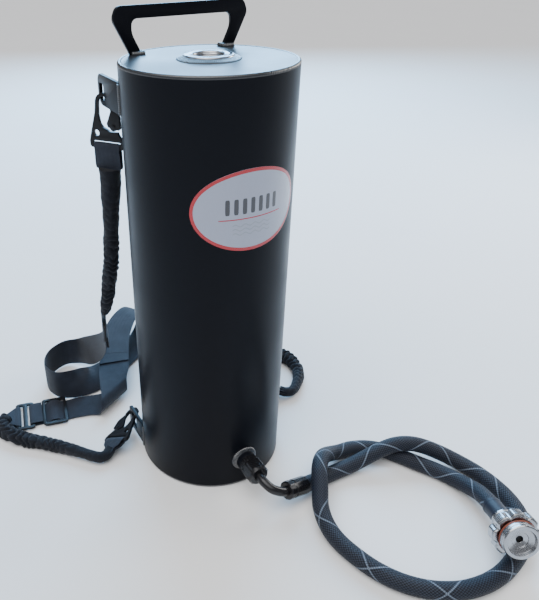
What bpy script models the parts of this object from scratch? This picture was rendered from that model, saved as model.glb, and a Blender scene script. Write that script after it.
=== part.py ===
"""Backpack liquid tank with a carry handle, four strap lugs, two bungee slings
with snap hooks, and a braided outlet hose with a lobed quick coupling.

Metres, +Z up.  The tank's axis is the Z axis and the tank stands on Z = 0.
The outlet and the label face -Y; the handle and the lugs are on the +Y side.
"""
import math

import bmesh
import bpy
from mathutils import Matrix, Vector
from mathutils.geometry import tessellate_polygon

# ---------------------------------------------------------------- dimensions
GAP = 0.0003                # air gap between neighbouring solids

TANK_R = 0.1016             # 8 inch tube, outer radius
TANK_WALL = 0.0032
TANK_H = 0.556
RIM = 0.0040                # width of the rolled weld bead at each end
PLATE_T = 0.0050
PLATE_TOP = TANK_H - 0.0006

FILLER_R = 0.0287           # flange of the filler bung
FILLER_BORE = 0.0180
FILLER_NECK = 0.0225
FILLER_RISE = 0.0052

HANDLE_Y = 0.0635           # front face of the handle plate
HANDLE_T = 0.0060
HANDLE_H = 0.0520
HANDLE_FOOT = 0.0675        # half width at the feet
HANDLE_TOP = 0.0870         # half width at the top bar
HANDLE_BAR = 0.0140

LUG_X = 0.0960              # middle plane of every lug plate
LUG_T = 0.0040
HOOK_R = 0.0080             # inside radius of a snap hook
HOOK_W = 0.0042             # thickness of a snap hook

OUTLET_Z = 0.045
HOSE_R = 0.0108
SLEEVE_R = 0.0100
WEB_T = 0.0018
STRAP_W = 0.050
CLIP_WEB_W = 0.038

LABEL_A = 0.0715
LABEL_B = 0.0475
LABEL_Z = 0.4125
LABEL_T = 0.0006

SEG = 56


# ------------------------------------------------------------------- helpers
def clear_scene():
    for ob in list(bpy.data.objects):
        bpy.data.objects.remove(ob, do_unlink=True)


def material(name, color, rough, metal=0.0):
    m = bpy.data.materials.get(name)
    if m:
        return m
    m = bpy.data.materials.new(name)
    m.use_nodes = True
    b = m.node_tree.nodes["Principled BSDF"]
    b.inputs["Base Color"].default_value = (color[0], color[1], color[2], 1.0)
    b.inputs["Roughness"].default_value = rough
    b.inputs["Metallic"].default_value = metal
    return m


COAT = ((0.012, 0.013, 0.016), 0.32, 0.0)
STEEL = ((0.015, 0.015, 0.017), 0.35, 0.9)
BARE = ((0.62, 0.62, 0.64), 0.28, 1.0)
WEB = ((0.02, 0.022, 0.03), 0.85, 0.0)
SLEEVE = ((0.012, 0.013, 0.018), 0.9, 0.0)
BRAID = ((0.05, 0.065, 0.10), 0.7, 0.0)
RUBBER = ((0.02, 0.022, 0.03), 0.6, 0.0)


def finish(name, bm, look):
    bmesh.ops.recalc_face_normals(bm, faces=bm.faces)
    me = bpy.data.meshes.new(name)
    bm.to_mesh(me)
    bm.free()
    ob = bpy.data.objects.new(name, me)
    bpy.context.collection.objects.link(ob)
    me.materials.append(material(name, *look))
    return ob


def axis_matrix(origin, axis, side=(0.0, 0.0, 1.0)):
    """Local Z runs along axis and local X is as close to side as it can be."""
    z = Vector(axis).normalized()
    x = Vector(side)
    if abs(x.normalized().dot(z)) > 0.98:
        x = Vector((1.0, 0.0, 0.0))
    x = (x - z * x.dot(z)).normalized()
    y = z.cross(x)
    m = Matrix((x, y, z)).transposed().to_4x4()
    m.translation = Vector(origin)
    return m


def revolve(name, profile, look, matrix=None, seg=SEG, shape=None):
    """Closed ring of (radius, height) points turned about local Z.  A profile
    whose first and last radius are 0 makes a solid with two poles; otherwise
    the profile is a closed loop.  shape(angle, r, z) may change the radius."""
    bm = bmesh.new()
    matrix = matrix or Matrix()
    solid = profile[0][0] == 0.0 and profile[-1][0] == 0.0
    rings = []
    for r, z in profile:
        if r == 0.0:
            rings.append([bm.verts.new(matrix @ Vector((0, 0, z)))])
            continue
        ring = []
        for i in range(seg):
            a = 2.0 * math.pi * i / seg
            rr = shape(a, r, z) if shape else r
            ring.append(bm.verts.new(matrix @ Vector((rr * math.cos(a), rr * math.sin(a), z))))
        rings.append(ring)
    pairs = list(zip(rings, rings[1:]))
    if not solid:
        pairs.append((rings[-1], rings[0]))
    for a, b in pairs:
        for i in range(seg):
            j = (i + 1) % seg
            if len(a) == 1:
                bm.faces.new((a[0], b[i], b[j]))
            elif len(b) == 1:
                bm.faces.new((a[i], a[j], b[0]))
            else:
                bm.faces.new((a[i], a[j], b[j], b[i]))
    return finish(name, bm, look)


def rounded(points, radii, steps=4):
    """Polygon with rounded corners.  radii is one number or one per corner."""
    n = len(points)
    if not hasattr(radii, "__len__"):
        radii = [radii] * n
    out = []
    for i in range(n):
        p = Vector(points[i])
        a = Vector(points[i - 1]) - p
        b = Vector(points[(i + 1) % n]) - p
        r = radii[i]
        if r <= 0.0:
            out.append(tuple(p))
            continue
        half = a.angle(b) / 2.0
        d = min(r / math.tan(half), 0.49 * a.length, 0.49 * b.length)
        r = d * math.tan(half)
        c = p + (a.normalized() + b.normalized()).normalized() * (r / math.sin(half))
        s = p + a.normalized() * d - c
        e = p + b.normalized() * d - c
        turn = math.atan2(s.x * e.y - s.y * e.x, s.dot(e))
        for k in range(steps + 1):
            t = turn * k / steps
            v = Vector((s.x * math.cos(t) - s.y * math.sin(t), s.x * math.sin(t) + s.y * math.cos(t)))
            out.append(tuple(c + v))
    return out


def circle(cx, cy, r, n=16):
    return [(cx + r * math.cos(2 * math.pi * i / n), cy + r * math.sin(2 * math.pi * i / n))
            for i in range(n)]


def plate(name, outline, holes, thickness, matrix, look):
    """Flat plate: local XY outline with holes, thickness centred on local Z."""
    loops = [outline] + list(holes)
    flat = [Vector((x, y, 0.0)) for loop in loops for x, y in loop]
    tris = tessellate_polygon([[Vector((x, y, 0.0)) for x, y in loop] for loop in loops])
    bm = bmesh.new()
    top = [bm.verts.new(matrix @ (v + Vector((0, 0, thickness / 2)))) for v in flat]
    low = [bm.verts.new(matrix @ (v - Vector((0, 0, thickness / 2)))) for v in flat]
    for a, b, c in tris:
        bm.faces.new((top[a], top[b], top[c]))
        bm.faces.new((low[c], low[b], low[a]))
    k = 0
    for loop in loops:
        n = len(loop)
        for i in range(n):
            j = (i + 1) % n
            bm.faces.new((top[k + i], top[k + j], low[k + j], low[k + i]))
        k += n
    return finish(name, bm, look)


def cut(ob, cutter_radius, height=2.0):
    """Take a standing cylinder of the given radius about the Z axis out of ob."""
    bm = bmesh.new()
    bmesh.ops.create_cone(bm, cap_ends=True, segments=128, radius1=cutter_radius,
                          radius2=cutter_radius, depth=height)
    me = bpy.data.meshes.new("cut_" + ob.name)
    bm.to_mesh(me)
    bm.free()
    c = bpy.data.objects.new("cut_" + ob.name, me)
    bpy.context.collection.objects.link(c)
    mod = ob.modifiers.new("cut", "BOOLEAN")
    mod.operation = "DIFFERENCE"
    mod.solver = "EXACT"
    mod.object = c
    bpy.context.view_layer.update()
    dep = bpy.context.evaluated_depsgraph_get()
    new = bpy.data.meshes.new_from_object(ob.evaluated_get(dep))
    ob.modifiers.clear()
    ob.data = new
    bpy.data.objects.remove(c, do_unlink=True)
    return ob


def smooth_path(points, step):
    """Even points on a smooth curve that goes through the given points."""
    p = [Vector(q) for q in points]
    p = [p[0] * 2 - p[1]] + p + [p[-1] * 2 - p[-2]]
    fine = []
    for i in range(1, len(p) - 2):
        for k in range(24):
            t = k / 24.0
            a, b, c, d = p[i - 1], p[i], p[i + 1], p[i + 2]
            fine.append(0.5 * ((2 * b) + (c - a) * t + (2 * a - 5 * b + 4 * c - d) * t * t
                               + (3 * b - a - 3 * c + d) * t ** 3))
    fine.append(p[-2])
    total = sum((b - a).length for a, b in zip(fine, fine[1:]))
    n = max(2, round(total / step))
    out = [fine[0]]
    run = 0.0
    want = total / n
    for a, b in zip(fine, fine[1:]):
        seg = (b - a).length
        while len(out) < n and run + seg >= want * len(out):
            out.append(a.lerp(b, (want * len(out) - run) / seg))
        run += seg
    return out + [fine[-1]]


def tube(name, points, radius, look, step, res=2, head=None, tail=None):
    """Round cord along a smooth path, as a curve with filled caps.  head and
    tail are exact end points, so that the cord leaves straight there."""
    pts = smooth_path(points, step)
    if head is not None:
        pts = [Vector(head)] + pts
    if tail is not None:
        pts = pts + [Vector(tail)]
    cu = bpy.data.curves.new(name, "CURVE")
    cu.dimensions = "3D"
    cu.bevel_depth = radius
    cu.bevel_resolution = res
    cu.use_fill_caps = True
    sp = cu.splines.new("POLY")
    sp.points.add(len(pts) - 1)
    for s, v in zip(sp.points, pts):
        s.co = (v.x, v.y, v.z, 1.0)
    ob = bpy.data.objects.new(name, cu)
    bpy.context.collection.objects.link(ob)
    cu.materials.append(material(name, *look))
    return ob


def ribbon(name, rows, thickness, look, per=5):
    """Flat strap.  rows is a list of (centre, width vector)."""
    c = [Vector(r[0]) for r in rows]
    w = [Vector(r[1]) for r in rows]

    def cat(q, i, t):
        a = q[max(i - 1, 0)]
        b = q[i]
        d = q[i + 1]
        e = q[min(i + 2, len(q) - 1)]
        return 0.5 * ((2 * b) + (d - a) * t + (2 * a - 5 * b + 4 * d - e) * t * t
                      + (3 * b - a - 3 * d + e) * t ** 3)

    cs, ws = [], []
    for i in range(len(rows) - 1):
        for k in range(per):
            cs.append(cat(c, i, k / per))
            ws.append(cat(w, i, k / per))
    cs.append(c[-1])
    ws.append(w[-1])
    bm = bmesh.new()
    rings = []
    for i, (p, v) in enumerate(zip(cs, ws)):
        t = cs[min(i + 1, len(cs) - 1)] - cs[max(i - 1, 0)]
        n = t.cross(v).normalized() * (thickness / 2)
        rings.append([bm.verts.new(q) for q in
                      (p - v / 2 - n, p + v / 2 - n, p + v / 2 + n, p - v / 2 + n)])
    for a, b in zip(rings, rings[1:]):
        for i in range(4):
            j = (i + 1) % 4
            bm.faces.new((a[i], a[j], b[j], b[i]))
    bm.faces.new(rings[0][::-1])
    bm.faces.new(rings[-1])
    return finish(name, bm, look)


# ---------------------------------------------------------------------- tank
def build_tank():
    r, w, h = TANK_R, TANK_WALL, TANK_H
    revolve("tank_shell", [(r, RIM), (r, h - RIM), (r - w, h - RIM), (r - w, RIM)], COAT)
    pr = r - RIM - 0.0002
    revolve("top_plate", [(FILLER_NECK + GAP, PLATE_TOP - PLATE_T), (pr, PLATE_TOP - PLATE_T),
                          (pr, PLATE_TOP), (FILLER_NECK + GAP, PLATE_TOP)], COAT)
    revolve("bottom_plate", [(0.0, 0.0), (pr, 0.0), (pr, PLATE_T), (0.0, PLATE_T)], COAT)
    a, b = r - RIM + 0.0001, r
    top = h - RIM + GAP
    revolve("top_rim_weld", [(a, top), (b, top), (b, h - 0.0026), (b - 0.0007, h - 0.0010),
                             (b - 0.0022, h), (a, h)], COAT)
    revolve("bottom_rim_weld", [(a, GAP), (a, RIM - GAP), (b, RIM - GAP), (b, 0.0026),
                                (b - 0.0007, 0.0010), (b - 0.0022, GAP)], COAT)
    z = PLATE_TOP + GAP
    rise = PLATE_TOP + FILLER_RISE
    fr = FILLER_R
    low = PLATE_TOP - 0.018
    revolve("filler_bung", [(FILLER_NECK, low), (FILLER_NECK, z), (fr, z), (fr, rise - 0.0010),
                            (fr - 0.0010, rise), (FILLER_BORE + 0.0015, rise),
                            (FILLER_BORE, rise - 0.0015), (FILLER_BORE, low)], BARE, seg=36)
    revolve("filler_weld", [(fr + GAP, z), (fr + 0.0075, z), (fr + 0.0062, z + 0.0018),
                            (fr + 0.0030, z + 0.0034), (fr + GAP, z + 0.0040)], COAT, seg=36)


def build_handle():
    z0 = PLATE_TOP + GAP
    foot, top, h, bar = HANDLE_FOOT, HANDLE_TOP, HANDLE_H, HANDLE_BAR
    lean = (top - foot) / (h - 0.014)
    out = [(-foot, 0.0), (-foot + 0.0150, 0.0), (-foot + 0.0150 - lean * 0.024, 0.024),
           (-top + 0.0240, h - bar), (top - 0.0240, h - bar), (foot - 0.0150 + lean * 0.024, 0.024),
           (foot - 0.0150, 0.0), (foot, 0.0), (top, h - 0.014), (top - 0.006, h),
           (-top + 0.006, h), (-top, h - 0.014)]
    rad = [0.0, 0.0, 0.0, 0.007, 0.007, 0.0, 0.0, 0.0, 0.012, 0.009, 0.009, 0.012]
    m = Matrix(((1, 0, 0, 0), (0, 0, -1, HANDLE_Y + HANDLE_T / 2), (0, 1, 0, z0), (0, 0, 0, 1)))
    plate("carry_handle", rounded(out, rad), [], HANDLE_T, m, COAT)
    front = HANDLE_Y - GAP
    back = HANDLE_Y + HANDLE_T + GAP
    for side, tag in ((-1, "left"), (1, "right")):
        for y, d, x0, x1, where in ((front, -1, 0.0530, 0.0668, "front"),
                                    (back, 1, 0.0530, 0.0622, "back")):
            bm = bmesh.new()
            rows = []
            for x in (x0, x0 + 0.0020, x1 - 0.0020, x1):
                k = 0.0040 if x0 < x < x1 else 0.0022
                rows.append([bm.verts.new((side * x, y, z0)), bm.verts.new((side * x, y + d * k, z0)),
                             bm.verts.new((side * x, y + d * k * 0.6, z0 + k * 0.62)),
                             bm.verts.new((side * x, y, z0 + k))])
            for a, b in zip(rows, rows[1:]):
                for i in range(4):
                    j = (i + 1) % 4
                    bm.faces.new((a[i], a[j], b[j], b[i]))
            bm.faces.new(rows[0][::-1])
            bm.faces.new(rows[-1])
            finish("handle_weld_%s_%s" % (tag, where), bm, COAT)


def build_label():
    bm = bmesh.new()
    rings, n = 6, 32
    layers = []
    for r in (TANK_R + 0.00045, TANK_R + 0.00045 + LABEL_T):
        layer = [[bm.verts.new((0.0, -r, LABEL_Z))]]
        for k in range(1, rings + 1):
            ring = []
            for i in range(n):
                a = 2 * math.pi * i / n
                u = LABEL_A * math.cos(a) * k / rings / TANK_R
                v = LABEL_B * math.sin(a) * k / rings
                ring.append(bm.verts.new((r * math.sin(u), -r * math.cos(u), LABEL_Z + v)))
            layer.append(ring)
        layers.append(layer)
    for layer in layers:
        for a, b in zip(layer, layer[1:]):
            for i in range(n):
                j = (i + 1) % n
                if len(a) == 1:
                    bm.faces.new((a[0], b[i], b[j]))
                else:
                    bm.faces.new((a[i], b[i], b[j], a[j]))
    lo, hi = layers[0][-1], layers[1][-1]
    for i in range(n):
        j = (i + 1) % n
        bm.faces.new((lo[i], lo[j], hi[j], hi[i]))
    finish("label", bm, ((0.75, 0.76, 0.78), 0.25, 0.0))


# ---------------------------------------------------------------------- lugs
# tip, slot near, slot far (all Y), plate low, plate high, slot low, slot high
UPPER = (0.0988, 0.0795, 0.0935, 0.4985, 0.5345, 0.5050, 0.5245)
LOWER = (0.0828, 0.0550, 0.0724, 0.0060, 0.0430, 0.0155, 0.0375)


def build_lug(name, side, spec):
    tip, s0, s1, z0, z1, sz0, sz1 = spec
    out = [(0.020, z0), (tip, z0), (tip, z1), (0.020, z1)]
    upper = spec is UPPER
    top = 0.0045 if upper else 0.0015
    hole = rounded([(s0, sz0), (s1, sz0), (s1, sz1), (s0, sz1)], [0.0015, 0.0015, top, top])
    m = Matrix(((0, 0, 1, side * LUG_X), (1, 0, 0, 0), (0, 1, 0, 0), (0, 0, 0, 1)))
    outline = rounded(out, [0.0, 0.013 if upper else 0.006, 0.010 if upper else 0.006, 0.0], 5)
    ob = plate(name, outline, [hole], LUG_T, m, COAT)
    return cut(ob, TANK_R + GAP)


def build_lug_weld(name, side, spec):
    """Fillet bead along the outer face of a lug, where it meets the tank."""
    z0, z1 = spec[3] + 0.001, spec[4] - 0.001
    x = LUG_X + LUG_T / 2 + GAP
    bm = bmesh.new()
    y0 = math.sqrt((TANK_R + GAP) ** 2 - x * x)
    rows = []
    for z in (z0, z0 + 0.002, z1 - 0.002, z1):
        k = 0.0034 if z0 < z < z1 else 0.0020
        xe = x + k * 0.55
        ye = math.sqrt(max((TANK_R + GAP) ** 2 - xe * xe, 0.0))
        rows.append([bm.verts.new((side * x, y0 + 0.0002, z)), bm.verts.new((side * x, y0 + k, z)),
                     bm.verts.new((side * (x + k * 0.4), y0 + k * 0.35, z)),
                     bm.verts.new((side * xe, ye + 0.0002, z))])
    for a, b in zip(rows, rows[1:]):
        for i in range(4):
            j = (i + 1) % 4
            bm.faces.new((a[i], a[j], b[j], b[i]))
    bm.faces.new(rows[0][::-1])
    bm.faces.new(rows[-1])
    return finish(name, bm, COAT)


# --------------------------------------------------------------- snap hooks
PIVOT = (0.0110, -0.0270)       # gate pivot in the hook's own plane
SLOT_V = (-0.0500, -0.0460)     # webbing slot in the hook's own plane
HOOK_END = -0.0550


def hook_outline():
    ri, ro = HOOK_R, HOOK_R + HOOK_W
    pts = []
    for k in range(9):                          # inside of the hook, right to left
        a = math.pi * k / 8
        pts.append((ri * math.cos(a), ri * math.sin(a)))
    pts += [(-0.0092, -0.0140), (-0.0075, -0.0240), (-0.0040, -0.0290), (0.0010, -0.0310),
            (0.0050, -0.0335), (0.0110, -0.0338), (0.0165, -0.0335), (0.0178, -0.0370),
            (0.0225, -0.0430), (0.0245, -0.0475), (0.0240, -0.0530), (0.0220, HOOK_END),
            (-0.0220, HOOK_END), (-0.0240, -0.0530), (-0.0245, -0.0475), (-0.0225, -0.0400),
            (-0.0140, -0.0120)]
    for k in range(9):                          # outside of the hook, left to right
        a = math.pi * (8 - k) / 8
        pts.append((ro * math.cos(a), ro * math.sin(a)))
    pts += [(0.0122, -0.0022), (0.0082, -0.0022)]
    return pts


def gate_outline():
    px, py = PIVOT
    pts = []
    for k in range(9):                          # round lower end about the pivot
        a = 1.12 * math.pi + 0.66 * math.pi * k / 8
        pts.append((px + 0.0056 * math.cos(a), py + 0.0056 * math.sin(a)))
    pts += [(0.0185, -0.0310), (0.0205, -0.0290), (0.0203, -0.0150), (0.0185, -0.0110),
            (0.0140, -0.0058), (0.0124, -0.0027), (0.0083, -0.0027), (0.0083, -0.0095),
            (0.0020, -0.0240), (0.0032, -0.0280)]
    return pts


def hook_matrix(origin, down, outer):
    """Local -Y points down the hook, local -X to the slender arm."""
    d = Vector(down).normalized()
    o = Vector(outer)
    o = (o - d * o.dot(d)).normalized()
    x, y = -o, -d
    m = Matrix((x, y, x.cross(y))).transposed().to_4x4()
    m.translation = Vector(origin)
    return m


def upper_hook(side):
    c, s = math.cos(math.radians(38)), math.sin(math.radians(38))
    return hook_matrix((side * LUG_X, 0.0865, UPPER[5] - 0.0040), (0, 0, -1), (side * s, c, 0))


def lower_hook(side):
    d = Vector((side * 0.757, -0.620, -0.205)).normalized()
    w = Vector((-side * 0.485, -0.744, 0.460))
    return hook_matrix((side * 0.0965, 0.0776, 0.0275), d, w)


def hook_point(m, v):
    """World position of a point on the middle line of a hook."""
    return m @ Vector((0.0, v, 0.0))


def build_hook(tag, m):
    slot = rounded([(-0.0198, SLOT_V[0]), (0.0198, SLOT_V[0]), (0.0198, SLOT_V[1]),
                    (-0.0198, SLOT_V[1])], 0.0012, 2)
    eye = circle(-0.0135, -0.0365, 0.0040)
    plate(tag + "_hook_frame", hook_outline(), [slot, eye], HOOK_W, m, STEEL)
    plate(tag + "_hook_gate", gate_outline(), [circle(PIVOT[0], PIVOT[1], 0.0018, 10)],
          HOOK_W - 0.0006, m, STEEL)
    pin = m @ Matrix.Translation((PIVOT[0], PIVOT[1], 0.0))
    h = HOOK_W / 2 + 0.0009
    revolve(tag + "_gate_pin", [(0.0, -h), (0.0027, -h), (0.0027, -h + 0.0007), (0.0015, -h + 0.0007),
                                (0.0015, h - 0.0007), (0.0027, h - 0.0007), (0.0027, h), (0.0, h)],
            STEEL, pin, seg=12)


def webbing_tab(name, m, v0, v1, w0, w1, n0, n1):
    """Short strap that hangs in the hook's slot: (v, half width, half depth)."""
    bm = bmesh.new()
    rows = []
    for v, w, n in ((v0, w0, n0), ((v0 + v1) / 2, (w0 + w1) / 2, (n0 + n1) / 2), (v1, w1, n1)):
        rows.append([bm.verts.new(m @ Vector(q)) for q in
                     ((-w, v, -n), (w, v, -n), (w, v, n), (-w, v, n))])
    for a, b in zip(rows, rows[1:]):
        for i in range(4):
            j = (i + 1) % 4
            bm.faces.new((a[i], a[j], b[j], b[i]))
    bm.faces.new(rows[0][::-1])
    bm.faces.new(rows[-1])
    return finish(name, bm, WEB)


# ------------------------------------------------------------------- slings
def loop_plate(name, centre, along, across, bars, look):
    """Flat ring with cross bars.  along is the strap's way, across is its
    width; bars is the list of slots as (low, high) along the strap."""
    x = Vector(across).normalized()
    y = Vector(along)
    y = (y - x * x.dot(y)).normalized()
    m = Matrix((x, y, x.cross(y))).transposed().to_4x4()
    m.translation = Vector(centre)
    half = STRAP_W / 2 + 0.0070
    lo, hi = bars[0][0] - 0.0045, bars[-1][1] + 0.0045
    out = rounded([(-half, lo), (half, lo), (half, hi), (-half, hi)], 0.0060, 3)
    s = STRAP_W / 2 + 0.0015
    holes = [rounded([(-s, a), (s, a), (s, b), (-s, b)], 0.0015, 2) for a, b in bars]
    return plate(name, out, holes, 0.0032, m, look)


def build_left_sling():
    x = -1.0
    up = upper_hook(x)
    webbing_tab("left_upper_webbing", up, HOOK_END - GAP, -0.0930, CLIP_WEB_W / 2, 0.0125,
                0.0022, 0.0050)
    tube("left_upper_sleeve", [(-0.0962, 0.0868, 0.4030), (-0.0975, 0.0895, 0.3700),
                               (-0.0985, 0.0960, 0.3250), (-0.0990, 0.1060, 0.2800),
                               (-0.1005, 0.1210, 0.2350), (-0.1030, 0.1350, 0.1950),
                               (-0.1050, 0.1400, 0.1820)], SLEEVE_R, SLEEVE, 0.026)
    loop_plate("left_upper_loop", (-0.1060, 0.1440, 0.1590), (0.0, 0.0, 1.0), (0.29, 0.957, 0.0),
               [(-0.0100, -0.0035), (0.0035, 0.0100)], STEEL)
    w = STRAP_W
    # from the upper loop down to the floor, a loop on edge, flat under, a hump, and the top run
    rows = [((-0.1060, 0.1440, 0.1415), Vector((0.29, 0.957, 0.0)) * w),
            ((-0.1070, 0.1600, 0.1150), Vector((0.20, 0.97, 0.15)) * w),
            ((-0.1085, 0.1950, 0.0850), Vector((0.08, 0.87, 0.48)) * w),
            ((-0.1115, 0.2350, 0.0560), Vector((0.0, 0.55, 0.83)) * w),
            ((-0.1190, 0.2750, 0.0330), Vector((0.0, 0.10, 0.99)) * w),
            ((-0.1420, 0.2890, 0.0268), Vector((0.0, 0.0, 1.0)) * w),
            ((-0.1720, 0.2720, 0.0265), Vector((0.0, 0.0, 1.0)) * w),
            ((-0.1880, 0.2380, 0.0265), Vector((0.0, 0.0, 1.0)) * w),
            ((-0.1780, 0.2060, 0.0265), Vector((0.0, 0.05, 1.0)) * w),
            ((-0.1510, 0.1960, 0.0255), Vector((-0.12, 0.30, 0.94)) * w),
            ((-0.1240, 0.2050, 0.0190), Vector((-0.36, 0.66, 0.65)) * w),
            ((-0.0930, 0.2250, 0.0090), Vector((-0.50, 0.84, 0.22)) * w),
            ((-0.0550, 0.2500, 0.0045), Vector((-0.53, 0.85, 0.0)) * w),
            ((-0.0150, 0.2780, 0.0045), Vector((-0.57, 0.82, 0.0)) * w),
            ((0.0180, 0.3050, 0.0080), Vector((-0.60, 0.80, 0.0)) * w),
            ((0.0350, 0.3230, 0.0240), Vector((-0.62, 0.78, 0.0)) * w),
            ((0.0260, 0.3330, 0.0430), Vector((-0.55, 0.83, 0.0)) * w),
            ((0.0000, 0.3250, 0.0520), Vector((-0.30, 0.95, 0.0)) * w)]
    rows += [((-0.0260, 0.3020, 0.0500), Vector((0.62, -0.78, 0.0)) * -w),
             ((-0.0500, 0.2680, 0.0440), Vector((-0.88, 0.47, 0.0)) * w),
             ((-0.0680, 0.2280, 0.0385), Vector((-0.93, 0.36, 0.0)) * w),
             ((-0.0840, 0.1880, 0.0350), Vector((-0.97, 0.10, 0.0)) * w * 1.06),
             ((-0.0960, 0.1550, 0.0330), Vector((-0.90, -0.44, 0.0)) * w * 1.25),
             ((-0.1010, 0.1430, 0.0300), Vector((-0.85, -0.525, 0.0)) * w * 1.36),
             ((-0.1035, 0.1365, 0.0195), Vector((-0.85, -0.525, 0.0)) * w * 1.36),
             ((-0.1050, 0.1420, 0.0085), Vector((-0.85, -0.525, 0.0)) * w * 1.36),
             ((-0.1170, 0.1490, 0.0050), Vector((-0.66, -0.80, 0.0)) * w * 1.15),
             ((-0.1380, 0.1570, 0.0035), Vector((-0.32, -0.95, 0.0)) * w),
             ((-0.1600, 0.1630, 0.0032), Vector((-0.24, -0.97, 0.0)) * w),
             ((-0.1720, 0.1660, 0.0036), Vector((-0.20, -0.98, 0.0)) * w)]
    ribbon("left_strap", rows, WEB_T, WEB, per=3)
    loop_plate("left_adjuster", (-0.1960, 0.1700, 0.0042), (-1.0, 0.20, 0.0), (0.20, 0.98, 0.0),
               [(-0.0150, -0.0035), (0.0035, 0.0150)], STEEL)
    loop_plate("left_lower_loop", (-0.2420, 0.1790, 0.0042), (-1.0, 0.20, 0.0), (0.20, 0.98, 0.0),
               [(-0.0100, -0.0035), (0.0035, 0.0100)], STEEL)
    low = lower_hook(x)
    webbing_tab("left_lower_webbing", low, HOOK_END - GAP, -0.0670, 0.0170, 0.0110, 0.0018, 0.0026)
    p = hook_point(low, -0.0700)
    tube("left_lower_sleeve", [tuple(hook_point(low, -0.0740)), (-0.1590, 0.0275, 0.0112),
                               (-0.1690, 0.0290, 0.0105), (-0.1820, 0.0420, 0.0105),
                               (-0.2050, 0.0690, 0.0105), (-0.2310, 0.0950, 0.0105),
                               (-0.2570, 0.1190, 0.0105), (-0.2760, 0.1450, 0.0105),
                               (-0.2800, 0.1690, 0.0105), (-0.2715, 0.1800, 0.0105)],
         SLEEVE_R, SLEEVE, 0.022, head=p)


def build_right_sling():
    x = 1.0
    up = upper_hook(x)
    webbing_tab("right_upper_webbing", up, HOOK_END - GAP, -0.0930, CLIP_WEB_W / 2, 0.0125,
                0.0022, 0.0050)
    tube("right_upper_sleeve", [(0.0962, 0.0868, 0.4030), (0.0975, 0.0895, 0.3700),
                                (0.0985, 0.0960, 0.3250), (0.0990, 0.1060, 0.2800),
                                (0.1005, 0.1210, 0.2350), (0.1030, 0.1350, 0.1950),
                                (0.1050, 0.1400, 0.1820)], SLEEVE_R, SLEEVE, 0.026)
    loop_plate("right_upper_loop", (0.1060, 0.1440, 0.1590), (0.0, 0.0, 1.0), (-0.29, 0.957, 0.0),
               [(-0.0100, -0.0035), (0.0035, 0.0100)], STEEL)
    w = STRAP_W
    rows = [((0.1060, 0.1440, 0.1415), Vector((-0.29, 0.957, 0.0)) * w),
            ((0.1050, 0.1600, 0.1150), Vector((-0.20, 0.97, 0.15)) * w),
            ((0.1020, 0.1950, 0.0850), Vector((-0.08, 0.87, 0.48)) * w),
            ((0.0960, 0.2350, 0.0560), Vector((0.0, 0.55, 0.83)) * w),
            ((0.0920, 0.2750, 0.0330), Vector((0.0, 0.10, 0.99)) * w),
            ((0.1000, 0.3080, 0.0268), Vector((0.0, 0.0, 1.0)) * w),
            ((0.1260, 0.3300, 0.0265), Vector((0.0, 0.0, 1.0)) * w),
            ((0.1600, 0.3290, 0.0265), Vector((0.0, 0.0, 1.0)) * w),
            ((0.1860, 0.3080, 0.0255), Vector((0.28, 0.10, 0.94)) * w),
            ((0.1960, 0.2790, 0.0180), Vector((0.72, 0.12, 0.62)) * w),
            ((0.1975, 0.2520, 0.0075), Vector((0.97, 0.0, 0.22)) * w),
            ((0.1965, 0.2360, 0.0036), Vector((1.0, 0.0, 0.0)) * w)]
    ribbon("right_strap", rows, WEB_T, WEB, per=3)
    loop_plate("right_adjuster", (0.1960, 0.2120, 0.0042), (0.0, -1.0, 0.0), (1.0, 0.0, 0.0),
               [(-0.0150, -0.0035), (0.0035, 0.0150)], STEEL)
    loop_plate("right_lower_loop", (0.1960, 0.1660, 0.0042), (0.0, -1.0, 0.0), (1.0, 0.0, 0.0),
               [(-0.0100, -0.0035), (0.0035, 0.0100)], STEEL)
    low = lower_hook(x)
    webbing_tab("right_lower_webbing", low, HOOK_END - GAP, -0.0670, 0.0170, 0.0110, 0.0018, 0.0026)
    p = hook_point(low, -0.0700)
    tube("right_lower_sleeve", [tuple(hook_point(low, -0.0740)), (0.1590, 0.0270, 0.0112),
                                (0.1700, 0.0265, 0.0105), (0.1860, 0.0370, 0.0105),
                                (0.2040, 0.0570, 0.0105), (0.2150, 0.0800, 0.0105),
                                (0.2170, 0.1050, 0.0105), (0.2080, 0.1280, 0.0105),
                                (0.1985, 0.1390, 0.0105)],
         SLEEVE_R, SLEEVE, 0.022, head=p)


# -------------------------------------------------------------- outlet, hose
SOCKET_AT = Vector((0.0260, -0.1672, 0.0300))
SOCKET_DIR = Vector((0.945, 0.1515, -0.289)).normalized()
SOCKET_L = 0.036
RING_AT = Vector((0.2152, -0.3654, 0.0535))
RING_DIR = Vector((-0.444, -0.842, 0.306)).normalized()


def hexagon(flat):
    """Radius of a hexagon of the given width across its flats."""
    def shape(a, r, z):
        k = (a + math.pi / 6) % (math.pi / 3) - math.pi / 6
        return min(r, flat / 2 / math.cos(k))
    return shape


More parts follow.
